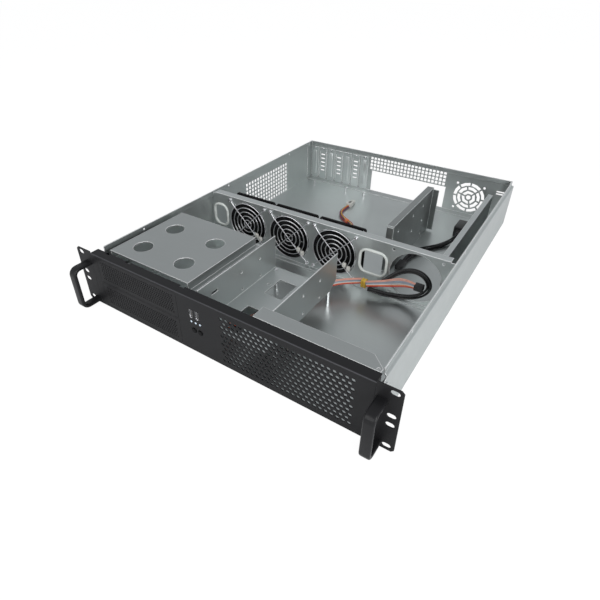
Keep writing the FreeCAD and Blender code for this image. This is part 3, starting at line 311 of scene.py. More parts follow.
# ---- stage
EYE = Vector((0.3146, -0.58115, 0.4148))
AZIMUTH = math.radians(33.64)
ELEVATION = math.radians(33.98)
LENS = 27.916
SHIFT = (0.0188, -0.0400)
WORLD_LEVEL = 0.56
LAMPS = (("key", (1.9, -1.1, 1.1), (1.6, 1.6), 36),       # name, place and size in metres, watts
         ("front", (-0.5, -2.0, 1.0), (1.6, 1.2), 14))


def add_camera():
    level = math.cos(ELEVATION)
    back = Vector((math.sin(AZIMUTH) * level, -math.cos(AZIMUTH) * level, math.sin(ELEVATION)))
    right = Vector((math.cos(AZIMUTH), math.sin(AZIMUTH), 0))
    up = back.cross(right)
    data = bpy.data.cameras.new("camera")
    data.lens = LENS
    data.sensor_width = 36
    data.shift_x, data.shift_y = SHIFT
    data.clip_start = 0.02
    data.clip_end = 40
    camera = bpy.data.objects.new("camera", data)
    camera.matrix_world = Matrix((
        (right.x, up.x, back.x, EYE.x),
        (right.y, up.y, back.y, EYE.y),
        (right.z, up.z, back.z, EYE.z),
        (0, 0, 0, 1)))
    bpy.context.scene.collection.objects.link(camera)
    bpy.context.scene.camera = camera


def add_area_light(name, place, size, watts):
    """A rectangular lamp that looks at the middle of the case."""
    data = bpy.data.lights.new(name, "AREA")
    data.shape = "RECTANGLE"
    data.size, data.size_y = size
    data.energy = watts
    lamp = bpy.data.objects.new(name, data)
    lamp.location = place
    lamp.rotation_euler = (-Vector(place)).to_track_quat("-Z", "Y").to_euler()
    bpy.context.scene.collection.objects.link(lamp)


def add_world(level):
    world = bpy.data.worlds.new("studio")
    world.use_nodes = True
    tree = world.node_tree
    tree.nodes.clear()
    path = tree.nodes.new("ShaderNodeLightPath")
    white = tree.nodes.new("ShaderNodeBackground")
    white.inputs["Color"].default_value = (1, 1, 1, 1)
    white.inputs["Strength"].default_value = 1.0
    soft = tree.nodes.new("ShaderNodeBackground")
    soft.inputs["Color"].default_value = (0.95, 0.97, 1, 1)
    soft.inputs["Strength"].default_value = level
    mix = tree.nodes.new("ShaderNodeMixShader")
    out = tree.nodes.new("ShaderNodeOutputWorld")
    tree.links.new(path.outputs["Is Camera Ray"], mix.inputs[0])
    tree.links.new(soft.outputs[0], mix.inputs[1])
    tree.links.new(white.outputs[0], mix.inputs[2])
    tree.links.new(mix.outputs[0], out.inputs["Surface"])
    bpy.context.scene.world = world


def add_floor(colour):
    data = bpy.data.meshes.new("floor")
    made = bmesh.new()
    bmesh.ops.create_grid(made, x_segments=1, y_segments=1, size=6.0)
    made.to_mesh(data)
    made.free()
    floor = bpy.data.objects.new("floor", data)
    floor.location.z = CAD_BOX[0][2] - 0.0002
    bpy.context.scene.collection.objects.link(floor)
    f = Finish("studio_floor")
    f.set(Base_Color=colour, Roughness=0.9)
    f.glow_for_camera(1.08, 0.86)
    data.materials.append(f.material)


class CASE_OT_stage(bpy.types.Operator):
    """Add the floor, the studio light and the camera"""
    bl_idname = "rack_case.stage"
    bl_label = "Stage"

    def execute(self, context):
        paints = context.scene.rack_case_paints
        context.scene.view_settings.view_transform = "Standard"
        add_world(WORLD_LEVEL)
        add_floor(tuple(paints.floor))
        for lamp in LAMPS:
            add_area_light(*lamp)
        add_camera()
        return {"FINISHED"}


# ---- finishes of the CAD nodes
WIRE_PAINTS = {
    "pink": (0.72, 0.36, 0.28), "white": (0.72, 0.71, 0.68), "slate": (0.30, 0.35, 0.42),
    "grey": (0.34, 0.33, 0.34), "tan": (0.62, 0.48, 0.36), "orange": (0.80, 0.22, 0.08),
    "red": (0.50, 0.05, 0.04), "violet": (0.22, 0.06, 0.16), "black": (0.012, 0.012, 0.013),
    "yellow": (0.75, 0.50, 0.06)}


def paint(names, material):
    for name in names:
        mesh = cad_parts[name].data
        mesh.materials.clear()
        mesh.materials.append(material)


def numbered(stem, last):
    return [stem + "_" + str(n) for n in range(1, last + 1)]


def finish_of(name):
    return bpy.data.materials[name]


class CASE_OT_finishes(bpy.types.Operator):
    """Give every part of the case its own finish"""
    bl_idname = "rack_case.finishes"
    bl_label = "Finishes"

    def execute(self, context):
        paints = context.scene.rack_case_paints
        steel = tuple(paints.steel)
        steel = shade(steel, 1.05)
        # Painted shade: the rear panel gets a darker copy of the zinc steel.
        paint(["rear_panel"], zinc_steel("rear_plate", shade(steel, 0.86)))
        paint(["chassis_tray", "cage_frame", "drive_tray", "fan_wall", "psu_rail", "front_io_bracket"],
              zinc_steel("zinc_plate", steel))
        # Painted shade: the divider gets a much darker copy of the zinc steel.
        paint(["psu_divider"], zinc_steel("divider_plate", shade(steel, 0.55)))
        # Painted shade: the cage cover and the front cross member get a darker copy of the zinc steel.
        paint(["cage_cover", "front_cross_member"], zinc_steel("cover_plate", shade(steel, 0.75)))
        paint(numbered("slot_cover", 7), zinc_steel("slot_cover_plate", shade(steel, 1.2), 0.34, (3, 3, 60)))
        paint(["rack_ear_right", "rack_ear_left"], powder_coat("black_coat", tuple(paints.coat)))
        powder_coat("cover_coat", shade(tuple(paints.coat), 0.9), 0.46)
        powder_coat("handle_coat", tuple(paints.coat), 0.32)
        paint(["handle_screws_right", "handle_screws_left", "ear_screws", "tray_pillars", "board_standoffs",
               "usb_port_left", "usb_port_right"], bright_metal("plated_screws", (0.75, 0.75, 0.76)))
        paint([*numbered("fan_frame", 3), *numbered("fan_rotor", 3), "power_button", "reset_button",
               "front_switches"],
              moulded("fan_moulding", shade(tuple(paints.plastic), 0.6), 0.6, 0.5, 0.12))
        # Painted highlight: a copy of the coat five times lighter, for the bend along the top front edge of
        # the bezel.
        powder_coat("bend_highlight_coat", shade(tuple(paints.coat), 5), 0.4)
        bright_metal("chromed_wire", (0.82, 0.82, 0.84), 0.34)
        bright_metal("gold_contact", (0.83, 0.60, 0.30), 0.3)
        moulded("white_edging", tuple(paints.edging))
        moulded("cable_jacket", shade(tuple(paints.plastic), 0.9), 0.36, 1.5)
        moulded("connector_white", (0.62, 0.62, 0.58), 0.4)
        moulded("yellow_tape", tuple(paints.tape), 0.35, 1.2)
        paint(["harness_plug", "harness_wires_plug"],
              moulded("connector_black", shade(tuple(paints.plastic), 1.3), 0.4))
        paint(["front_io_board"], moulded("board_laminate", (0.02, 0.10, 0.05)))
        paint(["status_lamps"], moulded("lamp_lens", (0.6, 0.7, 0.8), 0.2))
        for colour, value in WIRE_PAINTS.items():
            insulation("wire_" + colour, value)
        return {"FINISHED"}


# ---- making pieces
FRONT = Matrix(((1, 0, 0, 0), (0, 0, 1, 0), (0, 1, 0, 0), (0, 0, 0, 1)))     # across, up, back
DOWN = Matrix(((1, 0, 0, 0), (0, 1, 0, 0), (0, 0, 1, 0), (0, 0, 0, 1)))      # across, back, up


def link_piece(name, mesh, replaces, angle=35, body=CASE):
    """Link a mesh as a piece that rides on a body and the nodes that it stands for."""
    mesh.shade_smooth()
    mesh.set_sharp_from_angle(angle=math.radians(angle))
    piece = bpy.data.objects.new(name, mesh)
    bpy.context.scene.collection.objects.link(piece)
    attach(piece, body)
    if replaces:
        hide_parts(*replaces)
    return piece


def add_piece(name, made, finish, replaces, angle=35, body=CASE):
    """Add a bmesh as a piece of one finish, with its doubles merged and its faces outwards."""
    bmesh.ops.remove_doubles(made, verts=made.verts, dist=WELD)
    bmesh.ops.recalc_face_normals(made, faces=made.faces)
    mesh = bpy.data.meshes.new(name)
    made.to_mesh(mesh)
    made.free()
    mesh.materials.append(finish_of(finish))
    return link_piece(name, mesh, replaces, angle, body)


def add_spline(curve, kind, places):
    """Add a spline of a kind to a curve, with a point at each place."""
    spline = curve.splines.new(kind)
    spline.points.add(len(places) - 1)
    for point, place in zip(spline.points, places):
        point.co = (*place, 1)
    return spline


def curve_mesh(curve):
    """The mesh of a curve, whose data is then removed."""
    holder = bpy.data.objects.new(curve.name, curve)
    mesh = bpy.data.meshes.new_from_object(holder)
    bpy.data.objects.remove(holder)
    bpy.data.curves.remove(curve)
    return mesh


def take_in(made, mesh, matrix=None):
    """Add a mesh to a bmesh, and remove it."""
    if matrix:
        mesh.transform(matrix)
    made.from_mesh(mesh)
    bpy.data.meshes.remove(mesh)


def add_box(made, low, high, ease=0.0, segments=2):
    """A box between two corners, with its edges broken."""
    size = Vector(high) - Vector(low)
    place = Matrix.Translation((Vector(high) + Vector(low)) / 2) @ Matrix.Diagonal((*size, 1))
    verts = bmesh.ops.create_cube(made, size=1.0, matrix=place)["verts"]
    if ease:
        edges = list({edge for vert in verts for edge in vert.link_edges})
        bmesh.ops.bevel(made, geom=edges, offset=ease, segments=segments, profile=0.5, affect="EDGES",
                        material=-1)


def add_bar(made, start, end, radius, sides):
    """A round bar between two points."""
    along = Vector(end) - Vector(start)
    turn = Vector((0, 0, 1)).rotation_difference(along).to_matrix().to_4x4()
    place = Matrix.Translation((Vector(start) + Vector(end)) / 2) @ turn
    bmesh.ops.create_cone(made, cap_ends=True, segments=sides, radius1=radius, radius2=radius,
                          depth=along.length, matrix=place)


def add_ring(made, centre, radius, wire, steps=56):
    """A ring of round wire about the front-to-back axis."""
    section = Matrix.Translation(Vector(centre) + Vector((radius, 0, 0)))
    verts = bmesh.ops.create_circle(made, segments=8, radius=wire / 2, matrix=section)["verts"]
    edges = list({edge for vert in verts for edge in vert.link_edges})
    bmesh.ops.spin(made, geom=verts + edges, cent=centre, axis=(0, 1, 0), angle=2 * math.pi, steps=steps,
                   use_merge=True)


def polygon(u, v, radius, sides, turn=0.0):
    """The corners of a regular polygon."""
    angles = [turn + 2 * math.pi * n / sides for n in range(sides)]
    return [(u + radius * math.cos(a), v + radius * math.sin(a)) for a in angles]


def oblong(low, high, radius=0.0, steps=5):
    """A rectangle with round corners, as points."""
    (u0, v0), (u1, v1) = low, high
    if not radius:
        return [(u0, v0), (u1, v0), (u1, v1), (u0, v1)]
    points = []
    for quarter, (u, v) in enumerate(((u1 - radius, v1 - radius), (u0 + radius, v1 - radius),
                                      (u0 + radius, v0 + radius), (u1 - radius, v0 + radius))):
        angles = [math.pi / 2 * (quarter + n / steps) for n in range(steps + 1)]
        points += [(u + radius * math.cos(a), v + radius * math.sin(a)) for a in angles]
    return points


def cut_plate(name, loops, thickness, plane, depth, ease=0.0):
    """A flat plate, moved by depth across its plane. Its first loop is its outline, the others its holes."""
    curve = bpy.data.curves.new(name, "CURVE")
    curve.dimensions = "2D"
    curve.fill_mode = "BOTH"
    curve.extrude = thickness / 2 - ease
    curve.bevel_depth = ease
    curve.bevel_resolution = 0
    curve.offset = -ease
    for loop in loops:
        add_spline(curve, "POLY", [(u, v, 0) for u, v in loop]).use_cyclic_u = True
    mesh = curve_mesh(curve)
    mesh.transform(plane @ Matrix.Translation((0, 0, depth + thickness / 2)))
    return mesh


def node_solids(node):
    """The lowest and highest corners of each separate solid in a node."""
    made = bmesh.new()
    made.from_mesh(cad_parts[node].data)
    bmesh.ops.remove_doubles(made, verts=made.verts, dist=0.000001)
    left = set(made.verts)
    corners = []
    while left:
        island = [left.pop()]
        for vert in island:
            for edge in vert.link_edges:
                other = edge.other_vert(vert)
                if other in left:
                    left.remove(other)
                    island.append(other)
        places = [vert.co for vert in island]
        low = Vector([min(p[axis] for p in places) for axis in range(3)])
        high = Vector([max(p[axis] for p in places) for axis in range(3)])
        corners.append((low, high))
    made.free()
    return sorted(corners, key=lambda box: [round(c, 4) for c in box[0]])


# ---- wiring
FLOOR_TOP = 1.25 * MM         # what rests on the floor of the case lies above this
LEAD_BACK = 278.75            # from the front of the bezel to the middle of the footprint, in millimetres


def metres(route):
    """A route in millimetres behind the bezel, in the frame."""
    return [Vector((x * MM, (y - LEAD_BACK) * MM, z * MM)) for x, y, z in route]


HARNESS_ROUTE = ((-14, 20, 25), (-14, 43, 20), (-10, 76, 8), (4, 112, 5.4), (20, 146, 8), (35, 174, 15),
                 (54, 203, 21.5), (72, 220, 22.5), (92, 226, 27))     # the last bend is pulled straighter
LOOP_ROUTE = ((101, 230, 22), (113, 230, 22), (127, 238, 38), (142, 243, 52), (160, 243.5, 60),
              (177, 243.5, 57), (187, 243.5, 43), (181, 243.5, 27), (165, 243.5, 15), (143, 243, 9),
              (121, 231, 13), (101, 231, 13))
WIRES_ROUTE = ((101, 222.5, 27), (113, 222.5, 31.5), (133, 229, 36.5), (153, 234, 43), (168, 234, 42))
FAN_LEAD_ROUTE = ((2, 276.2, 6.6), (2, 294, 5.2), (-2, 325, 4.2), (-6, 360, 4), (-8, 392, 4.1), (-18, 414, 4),
                  (-38, 425, 4), (-58, 441, 4), (-66, 463, 4.1), (-64, 485, 4))
SUPPLY_ROUTE = ((162, 470, 11), (158, 453, 8), (146, 430, 4.9), (131, 411, 4.7), (119, 389, 4.7),
                (113, 365, 4.7), (112, 343, 4.7))


def smooth_line(name, route):
    """Points along the smooth curve whose control points are the route."""
    curve = bpy.data.curves.new(name, "CURVE")
    curve.dimensions = "3D"
    curve.resolution_u = 12
    spline = add_spline(curve, "NURBS", metres(route))
    spline.order_u = 3
    spline.use_endpoint_u = True
    mesh = curve_mesh(curve)
    line = [vert.co.copy() for vert in mesh.vertices]
    bpy.data.meshes.remove(mesh)
    return line


def line_length(line):
    return sum((b - a).length for a, b in zip(line, line[1:]))


WAVES = 60                    # radians of weave for each metre of a strand
PHASE = 2400                  # radians of weave between strands that lie a metre apart sideways
TAPER = 8                     # the weave grows over an eighth of the length at each end
LATE = 1.8                    # above 1, the bundle is widest past its middle


def beside(line, across, up, weave, spread, radius):
    """A line beside another, which swells by spread, weaves a little and stays above the floor."""
    total = line_length(line)
    gone = 0.0
    side = Vector((0, 0, 1)).cross(line[1] - line[0]).normalized()
    path = []
    for n, point in enumerate(line):
        if n:
            gone += (point - line[n - 1]).length
        along = (line[min(n + 1, len(line) - 1)] - line[max(n - 1, 0)]).normalized()
        side = (side - along * side.dot(along)).normalized()
        share = gone / total
        belly = 1 + spread * math.sin(math.pi * share ** LATE) ** 2
        ends = min(1.0, TAPER * share, TAPER * (1 - share))
        drift = weave * ends * math.sin(gone * WAVES + (across + up * 3) * PHASE)
        place = point + side * (across * belly + drift) + along.cross(side) * (up * belly - drift * 0.6)
        place.z = max(place.z, FLOOR_TOP + radius)
        path.append(place)
    return path


def bundle(line, places, weave, spread, radius):
    """The lines of a bundle's strands, each at its own place beside the bundle's line."""
    return [beside(line, across, up, weave, spread, radius) for across, up in places]


def add_strands(name, lines, radius, materials, node):
    """Add round strands along lines as one piece, each strand in the next of the materials."""
    curve = bpy.data.curves.new(name, "CURVE")
    curve.dimensions = "3D"
    curve.bevel_depth = radius
    curve.bevel_resolution = 2
    curve.use_fill_caps = True
    for material in materials:
        curve.materials.append(material)
    for n, line in enumerate(lines):
        add_spline(curve, "POLY", line).material_index = n % len(materials)
    return link_piece(name, curve_mesh(curve), [node])


def flat_stack(rows, pitch):
    """Where each wire of a flat bundle lies, beside and above its middle."""
    places = []
    for row, wires in enumerate(rows):
        for n in range(wires):
            places.append(((row - (len(rows) - 1) / 2) * pitch, (n - (wires - 1) / 2) * pitch))
    return places


def coloured(names):
    return [finish_of("wire_" + name) for name in names]


class CASE_OT_front_wires(bpy.types.Operator):
    """Make the coloured wires from the front board, and their ends past the tape"""
    bl_idname = "rack_case.front_wires"
    bl_label = "Front wires"

    weave: length("Weave", 0.35)

    def execute(self, context):
        wire = context.scene.rack_case_sizes.thin_wire * 0.95
        order = coloured(["red", "orange", "white", "slate", "slate", "pink", "orange", "tan", "white",
                          "grey", "slate", "white", "pink", "red", "tan", "grey", "slate", "violet", "pink"])
        places = flat_stack((6, 7, 6), wire * 0.98)
        line = smooth_line("harness_line", HARNESS_ROUTE)
        lines = bundle(line, places, self.weave, 0.0, wire / 2)
        wires = add_strands("front_wires", lines, wire / 2, order, "front_harness")
        line_length(line)
        line = smooth_line("wires_line", WIRES_ROUTE)
        lines = bundle(line, places, self.weave, 0.5, wire / 2)
        ends = add_strands("front_wire_ends", lines, wire / 2, order, "harness_wires")
        line_length(line)
        return {"FINISHED"}


class CASE_OT_spare_loop(bpy.types.Operator):
    """Make the black cables that loop in front of the spare fan place"""
    bl_idname = "rack_case.spare_loop"
    bl_label = "Spare loop"

    cables: count("Cables", 4)
    weave: length("Weave", 0.4)

    def execute(self, context):
        cable = context.scene.rack_case_sizes.black_cable
        line = smooth_line("loop_line", LOOP_ROUTE)
        lines = bundle(line, polygon(0, 0, cable * 0.74, self.cables, 0.9), self.weave, 0.25, cable / 2)
        jacket = finish_of("cable_jacket")
        loop = add_strands("spare_loop", lines, cable / 2, [jacket], "harness_loop")
        line_length(line)
        return {"FINISHED"}


class CASE_OT_fan_lead(bpy.types.Operator):
    """Make the fans' wires over the floor, their tie and their white connector"""
    bl_idname = "rack_case.fan_lead"
    bl_label = "Fan lead"

    weave: length("Weave", 0.5)
    tie_at: length("Tie along the lead", 158)
    tie_wide: length("Tie width", 8)
    tie_radii: lengths("Radii of the tie's turns", 3.4, 3.8)
    tie_lift: length("Tie above the lead's middle", 1)
    lip: length("Connector's lip", 1.2)

    def execute(self, context):
        wire = context.scene.rack_case_sizes.thin_wire
        line = smooth_line("fan_lead_line", FAN_LEAD_ROUTE)
        lines = bundle(line, flat_stack((2, 3, 2), wire), self.weave, 0.7, wire / 2)
        order = coloured(["violet", "red", "black", "violet", "yellow", "red", "violet"])
        wires = add_strands("fan_wires", lines, wire * 0.46, order, "fan_lead")
        line_length(line)
        self.connector()
        self.tie(line)
        return {"FINISHED"}

    def connector(self):
        low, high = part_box("fan_lead_plug")
        half = low.y + (high.y - low.y) * 0.6
        lip = self.lip
        made = bmesh.new()
        add_box(made, low, (high.x, half, high.z), 0.5 * MM)
        add_box(made, (low.x + lip, half - lip, low.z + lip), (high.x - lip, high.y, high.z - lip), 0.4 * MM)
        add_box(made, (low.x + 3 * lip, low.y + 3 * lip, high.z - lip),
                (high.x - 3 * lip, half - lip, high.z), 0.2 * MM)
        return add_piece("fan_connector", made, "connector_white", ["fan_lead_plug"])

    def tie(self, line):
        """A wide turn and a narrower one over it."""
        at = min(range(len(line)), key=lambda n: abs(line_length(line[:n + 1]) - self.tie_at))
        along = (line[at + 1] - line[at - 1]).normalized() * self.tie_wide / 2
        middle = line[at] + Vector((0, 0, self.tie_lift))
        made = bmesh.new()
        for radius, share in zip(self.tie_radii, (1.0, 0.6)):
            add_bar(made, middle - along * share, middle + along * share, radius, 14)
        add_piece("fan_wire_tie", made, "wire_orange", ())


class CASE_OT_supply_lead(bpy.types.Operator):
    """Make the black supply lead with its plug and its socket"""
    bl_idname = "rack_case.supply_lead"
    bl_label = "Supply lead"

    strands: count("Strands", 5)
    strand: length("Strand radius", 1.4)
    ring: length("Radius of the ring of strands", 2.6)
    weave: length("Weave", 0.6)
    relief: bpy.props.FloatVectorProperty(name="Relief", size=3, default=(0.40, 0.54, 1.0))

    def execute(self, context):
        line = smooth_line("supply_line", SUPPLY_ROUTE)
        lines = bundle(line, polygon(0, 0, self.ring, self.strands, 0.5), self.weave, 0.7, self.strand)
        jacket = finish_of("cable_jacket")
        lead = add_strands("supply_lead", lines, self.strand, [jacket], "power_lead")
        line_length(line)
        self.plug()
        self.socket()
        return {"FINISHED"}

    def plug(self):
        """A rewirable plug: a short collar, a neck and a body."""
        low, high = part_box("power_lead_plug")
        size = high - low
        middle = (low + high) / 2
        made = bmesh.new()
        for share, (start, end) in zip(self.relief, ((0.0, 0.16), (0.12, 0.30), (0.26, 1.0))):
            half = size * share / 2
            add_box(made, (middle.x - half.x, low.y + size.y * start, middle.z - half.z),
                    (middle.x + half.x, low.y + size.y * end, middle.z + half.z), 1.6 * MM, 3)
        return add_piece("supply_plug", made, "cable_jacket", ["power_lead_plug"])

    def socket(self):
        low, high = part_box("power_lead_socket")
        made = bmesh.new()
        add_box(made, low, high, 0.9 * MM)
        return add_piece("supply_socket", made, "connector_black", ["power_lead_socket"])


class CASE_OT_tape(bpy.types.Operator):
    """Wind the yellow tape round the front wires"""
    bl_idname = "rack_case.tape"
    bl_label = "Tape"

    turns: count("Turns", 3)
    from_low: lengths("In from the low corner", 1, 2, 9)
    from_high: lengths("In from the high corner", 1, 5, 0)
    shy: length("Inset of every other turn", 0.6)
    ease: length("Round edge", 3.2)
    seam: length("Half of the seam between turns", 0.1)

    def execute(self, context):
        low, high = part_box("harness_tie")
        low += Vector(self.from_low)
        high -= Vector(self.from_high)
        wide = (high.x - low.x) / self.turns
        made = bmesh.new()
        for turn in range(self.turns):
            left = low.x + turn * wide
            shy = self.shy * (turn % 2)
            before = len(made.verts)
            add_box(made, (left, low.y + shy, low.z + shy), (left + wide, high.y - shy, high.z - shy),
                    self.ease, 5)
            made.verts.ensure_lookup_table()
            for vert in made.verts[before:]:
                vert.co.x = min(max(vert.co.x, left + self.seam), left + wide - self.seam)
        add_piece("yellow_tape", made, "yellow_tape", ["harness_tie"])
        return {"FINISHED"}


# ---- front
class CASE_OT_bezel(bpy.types.Operator):
    """Make the folded front sheet with its hexagonal grille"""
    bl_idname = "rack_case.bezel"
    bl_label = "Bezel"

    sheet: length("Sheet", 1.6)
    pitch: lengths("Grille pitch", 7.1, 6.4)
    hole: lengths("Grille hole", 5.3, 4.1)
    first: lengths("First hole", 19.0, 10.6)
    columns: count("Columns", 25)
    rows: count("Rows", 11)
    notches: lengths("Notches", 23, 63, 161)
    notch: lengths("Notch", 8, 3)
    side_flange: length("Side flange", 12)
    side_gaps: lengths("Side flange short of the floor and of the top", 2, 2.5)

    def grille(self):
        """Flattened hexagons in staggered rows."""
        wide, high = self.hole
        loops = []
        for row in range(self.rows):
            odd = row % 2
            for column in range(self.columns - odd):
                x = self.first[0] + (column + odd / 2) * self.pitch[0]
                z = self.first[1] + row * self.pitch[1]
                tip, shoulder = wide / 2, wide / 4
                loops.append([(x + tip, z), (x + shoulder, z + high / 2), (x - shoulder, z + high / 2),
                              (x - tip, z), (x - shoulder, z - high / 2), (x + shoulder, z - high / 2)])
        return loops

    def openings(self):
        """The holes for the covers, the ports, the buttons and the lamps, each round its own node."""
        loops = []
        for name, gap, radius in (("bay_cover_lower", 0.3, 2), ("bay_cover_upper", 0.3, 2),
                                  ("usb_port_left", 0.15, 0.4), ("usb_port_right", 0.15, 0.4)):
            low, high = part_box(name)
            gap *= MM
            loops.append(oblong((low.x - gap, low.z - gap), (high.x + gap, high.z + gap), radius * MM))
        for name in ("power_button", "reset_button", "status_lamps"):
            for low, high in node_solids(name):
                middle = (low + high) / 2
                radius = (high.z - low.z) / 2 + 0.15 * MM
                loops.append(polygon(middle.x, middle.z, radius, 20))
        return loops

    def execute(self, context):
        low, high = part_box("front_bezel")
        ease = context.scene.rack_case_sizes.ease
        outline = oblong((low.x, low.z), (high.x, high.z - self.sheet / 2))
        made = bmesh.new()
        loops = [outline, *self.grille(), *self.openings()]
        take_in(made, cut_plate("bezel_face", loops, self.sheet, FRONT, low.y, ease))
        # A round bar along the top front bend, in a much lighter coat: a painted highlight.
        bend = bmesh.new()
        bow = self.sheet / 2
        middle = Vector((0, low.y + bow, high.z - bow))
        add_bar(bend, middle + Vector((low.x, 0, 0)), middle + Vector((high.x, 0, 0)), bow, 24)
        add_piece("bezel_bend", bend, "bend_highlight_coat", ())
        wide, deep = self.notch
        front = low.y + self.sheet / 2
        back = [(high.x, high.y), (high.x, front), (low.x, front), (low.x, high.y)]
        for reach in self.notches:
            x = low.x + reach
            back += [(x - wide / 2, high.y), (x - wide / 2, high.y - deep), (x + wide / 2, high.y - deep),
                     (x + wide / 2, high.y)]
        take_in(made, cut_plate("bezel_top", [back], self.sheet, DOWN, high.z - self.sheet, ease * 2))
        for left in (low.x, high.x - self.sheet):
            add_box(made, (left, front, low.z + self.side_gaps[0]),
                    (left + self.sheet, low.y + self.side_flange, high.z - self.side_gaps[1]), ease * 2, 1)
        add_piece("bezel_sheet", made, "black_coat", ["front_bezel"])
        return {"FINISHED"}


class CASE_OT_bay_covers(bpy.types.Operator):
    """Make the two finely perforated bay covers"""
    bl_idname = "rack_case.bay_covers"
    bl_label = "Bay covers"

    wall: length("Wall", 1.2)
    margin: lengths("Margin", 5.0, 4.2)

    def execute(self, context):
        sizes = context.scene.rack_case_sizes
        for name in ("bay_cover_lower", "bay_cover_upper"):
            low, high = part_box(name)
            made = bmesh.new()
            wall = self.wall
            outline = oblong((low.x, low.z), (high.x, high.z), 1.6 * MM)
            loops = [outline, *self.perforation(low, high, sizes)]
            take_in(made, cut_plate(name, loops, wall, FRONT, low.y, sizes.ease))
            inner = oblong((low.x + wall, low.z + wall), (high.x - wall, high.z - wall), 0.6 * MM)
            start = low.y + self.wall / 2
            take_in(made, cut_plate(name, [outline, inner], high.y - start, FRONT, start, sizes.ease))
            add_piece(name + "_sheet", made, "cover_coat", [name])
        return {"FINISHED"}

    def perforation(self, low, high, sizes):
        """Small round holes in staggered rows, in the middle of the face."""
        pitch = sizes.cover_pitch
        step = pitch * math.sqrt(3) / 2
        columns = int((high.x - low.x - 2 * self.margin[0]) / pitch)
        rows = int((high.z - low.z - 2 * self.margin[1]) / step)
        x0 = (low.x + high.x - (columns - 1) * pitch) / 2
        z0 = (low.z + high.z - (rows - 1) * step) / 2
        loops = []
        for row in range(rows):
            odd = row % 2
            for column in range(columns - odd):
                x = x0 + (column + odd / 2) * pitch
                loops.append(polygon(x, z0 + row * step, sizes.cover_hole / 2, 6))
        return loops


class CASE_OT_handles(bpy.types.Operator):
    """Make the two bow handles with round edges"""
    bl_idname = "rack_case.handles"
    bl_label = "Handles"

    thick: length("Thickness", 5.0)
    inside: length("Inside radius", 6.0)
    edge: length("Edge radius", 2.1)

    def execute(self, context):
        for side in ("right", "left"):
            low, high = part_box("handle_" + side)
            made = bmesh.new()
            loop = self.section(made, low, high)
            middle = self.inside + self.thick
            reach = high.y - low.y - middle
            grip = high.z - low.z - 2 * middle
            loop = self.run(made, loop, (0, -reach, 0))
            loop = self.turn(made, loop, (0, low.y + middle, low.z + middle))
            loop = self.run(made, loop, (0, 0, grip))
            loop = self.turn(made, loop, (0, low.y + middle, high.z - middle))
            self.run(made, loop, (0, reach, 0))
            bmesh.ops.holes_fill(made, edges=made.edges)
            add_piece("handle_" + side + "_bar", made, "handle_coat", ["handle_" + side], 50)
        return {"FINISHED"}

    def section(self, made, low, high):
        """The bar's rounded section, standing on the ear."""
        loop = oblong((low.x, low.z), (high.x, low.z + self.thick), self.edge, 5)
        verts = [made.verts.new((x, high.y, z)) for x, z in loop]
        return [made.edges.new(pair) for pair in zip(verts, verts[1:] + verts[:1])]

    def run(self, made, loop, move):
        pushed = bmesh.ops.extrude_edge_only(made, edges=loop)["geom"]
        bmesh.ops.translate(made, vec=move, verts=[g for g in pushed if isinstance(g, bmesh.types.BMVert)])
        return [g for g in pushed if isinstance(g, bmesh.types.BMEdge)]

    def turn(self, made, loop, centre):
        ends = list({vert for edge in loop for vert in edge.verts})
        spun = bmesh.ops.spin(made, geom=ends + loop, cent=centre, axis=(1, 0, 0), angle=-math.pi / 2,
                              steps=8)
        return [g for g in spun["geom_last"] if isinstance(g, bmesh.types.BMEdge)]


class CASE_OT_usb_ports(bpy.types.Operator):
    """Make the tongues and contacts inside the two front ports"""
    bl_idname = "rack_case.usb_ports"
    bl_label = "USB ports"

    contacts: count("Contacts", 4)
    contact: length("Contact width", 1.1)
    contact_front: length("Contacts behind the rim", 1.2)
    contact_ends: length("Contacts in from the ends", 2)
    tongue_front: length("Tongue behind the rim", 0.8)
    tongue_ends: length("Tongue in from the ends", 1.4)
    back_wall: length("Wall at the back", 1.2)

    def execute(self, context):
        tongues = bmesh.new()
        contacts = bmesh.new()
        for name in ("usb_port_left", "usb_port_right"):
            low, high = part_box(name)
            size = high - low
            left = low.x + size.x * 0.28
            right = low.x + size.x * 0.60
            back = high.y - self.back_wall
            add_box(tongues, (left, low.y + self.tongue_front, low.z + self.tongue_ends),
                    (right, back, high.z - self.tongue_ends), 0.2 * MM, 1)
            step = (size.z - 2 * self.contact_ends) / self.contacts
            for n in range(self.contacts):
                z = low.z + self.contact_ends + (n + 0.5) * step
                add_box(contacts, (right - 0.1 * MM, low.y + self.contact_front, z - self.contact / 2),
                        (right + 0.2 * MM, back, z + self.contact / 2))
        add_piece("usb_tongues", tongues, "connector_black", ())
        add_piece("usb_contacts", contacts, "gold_contact", ())
        return {"FINISHED"}


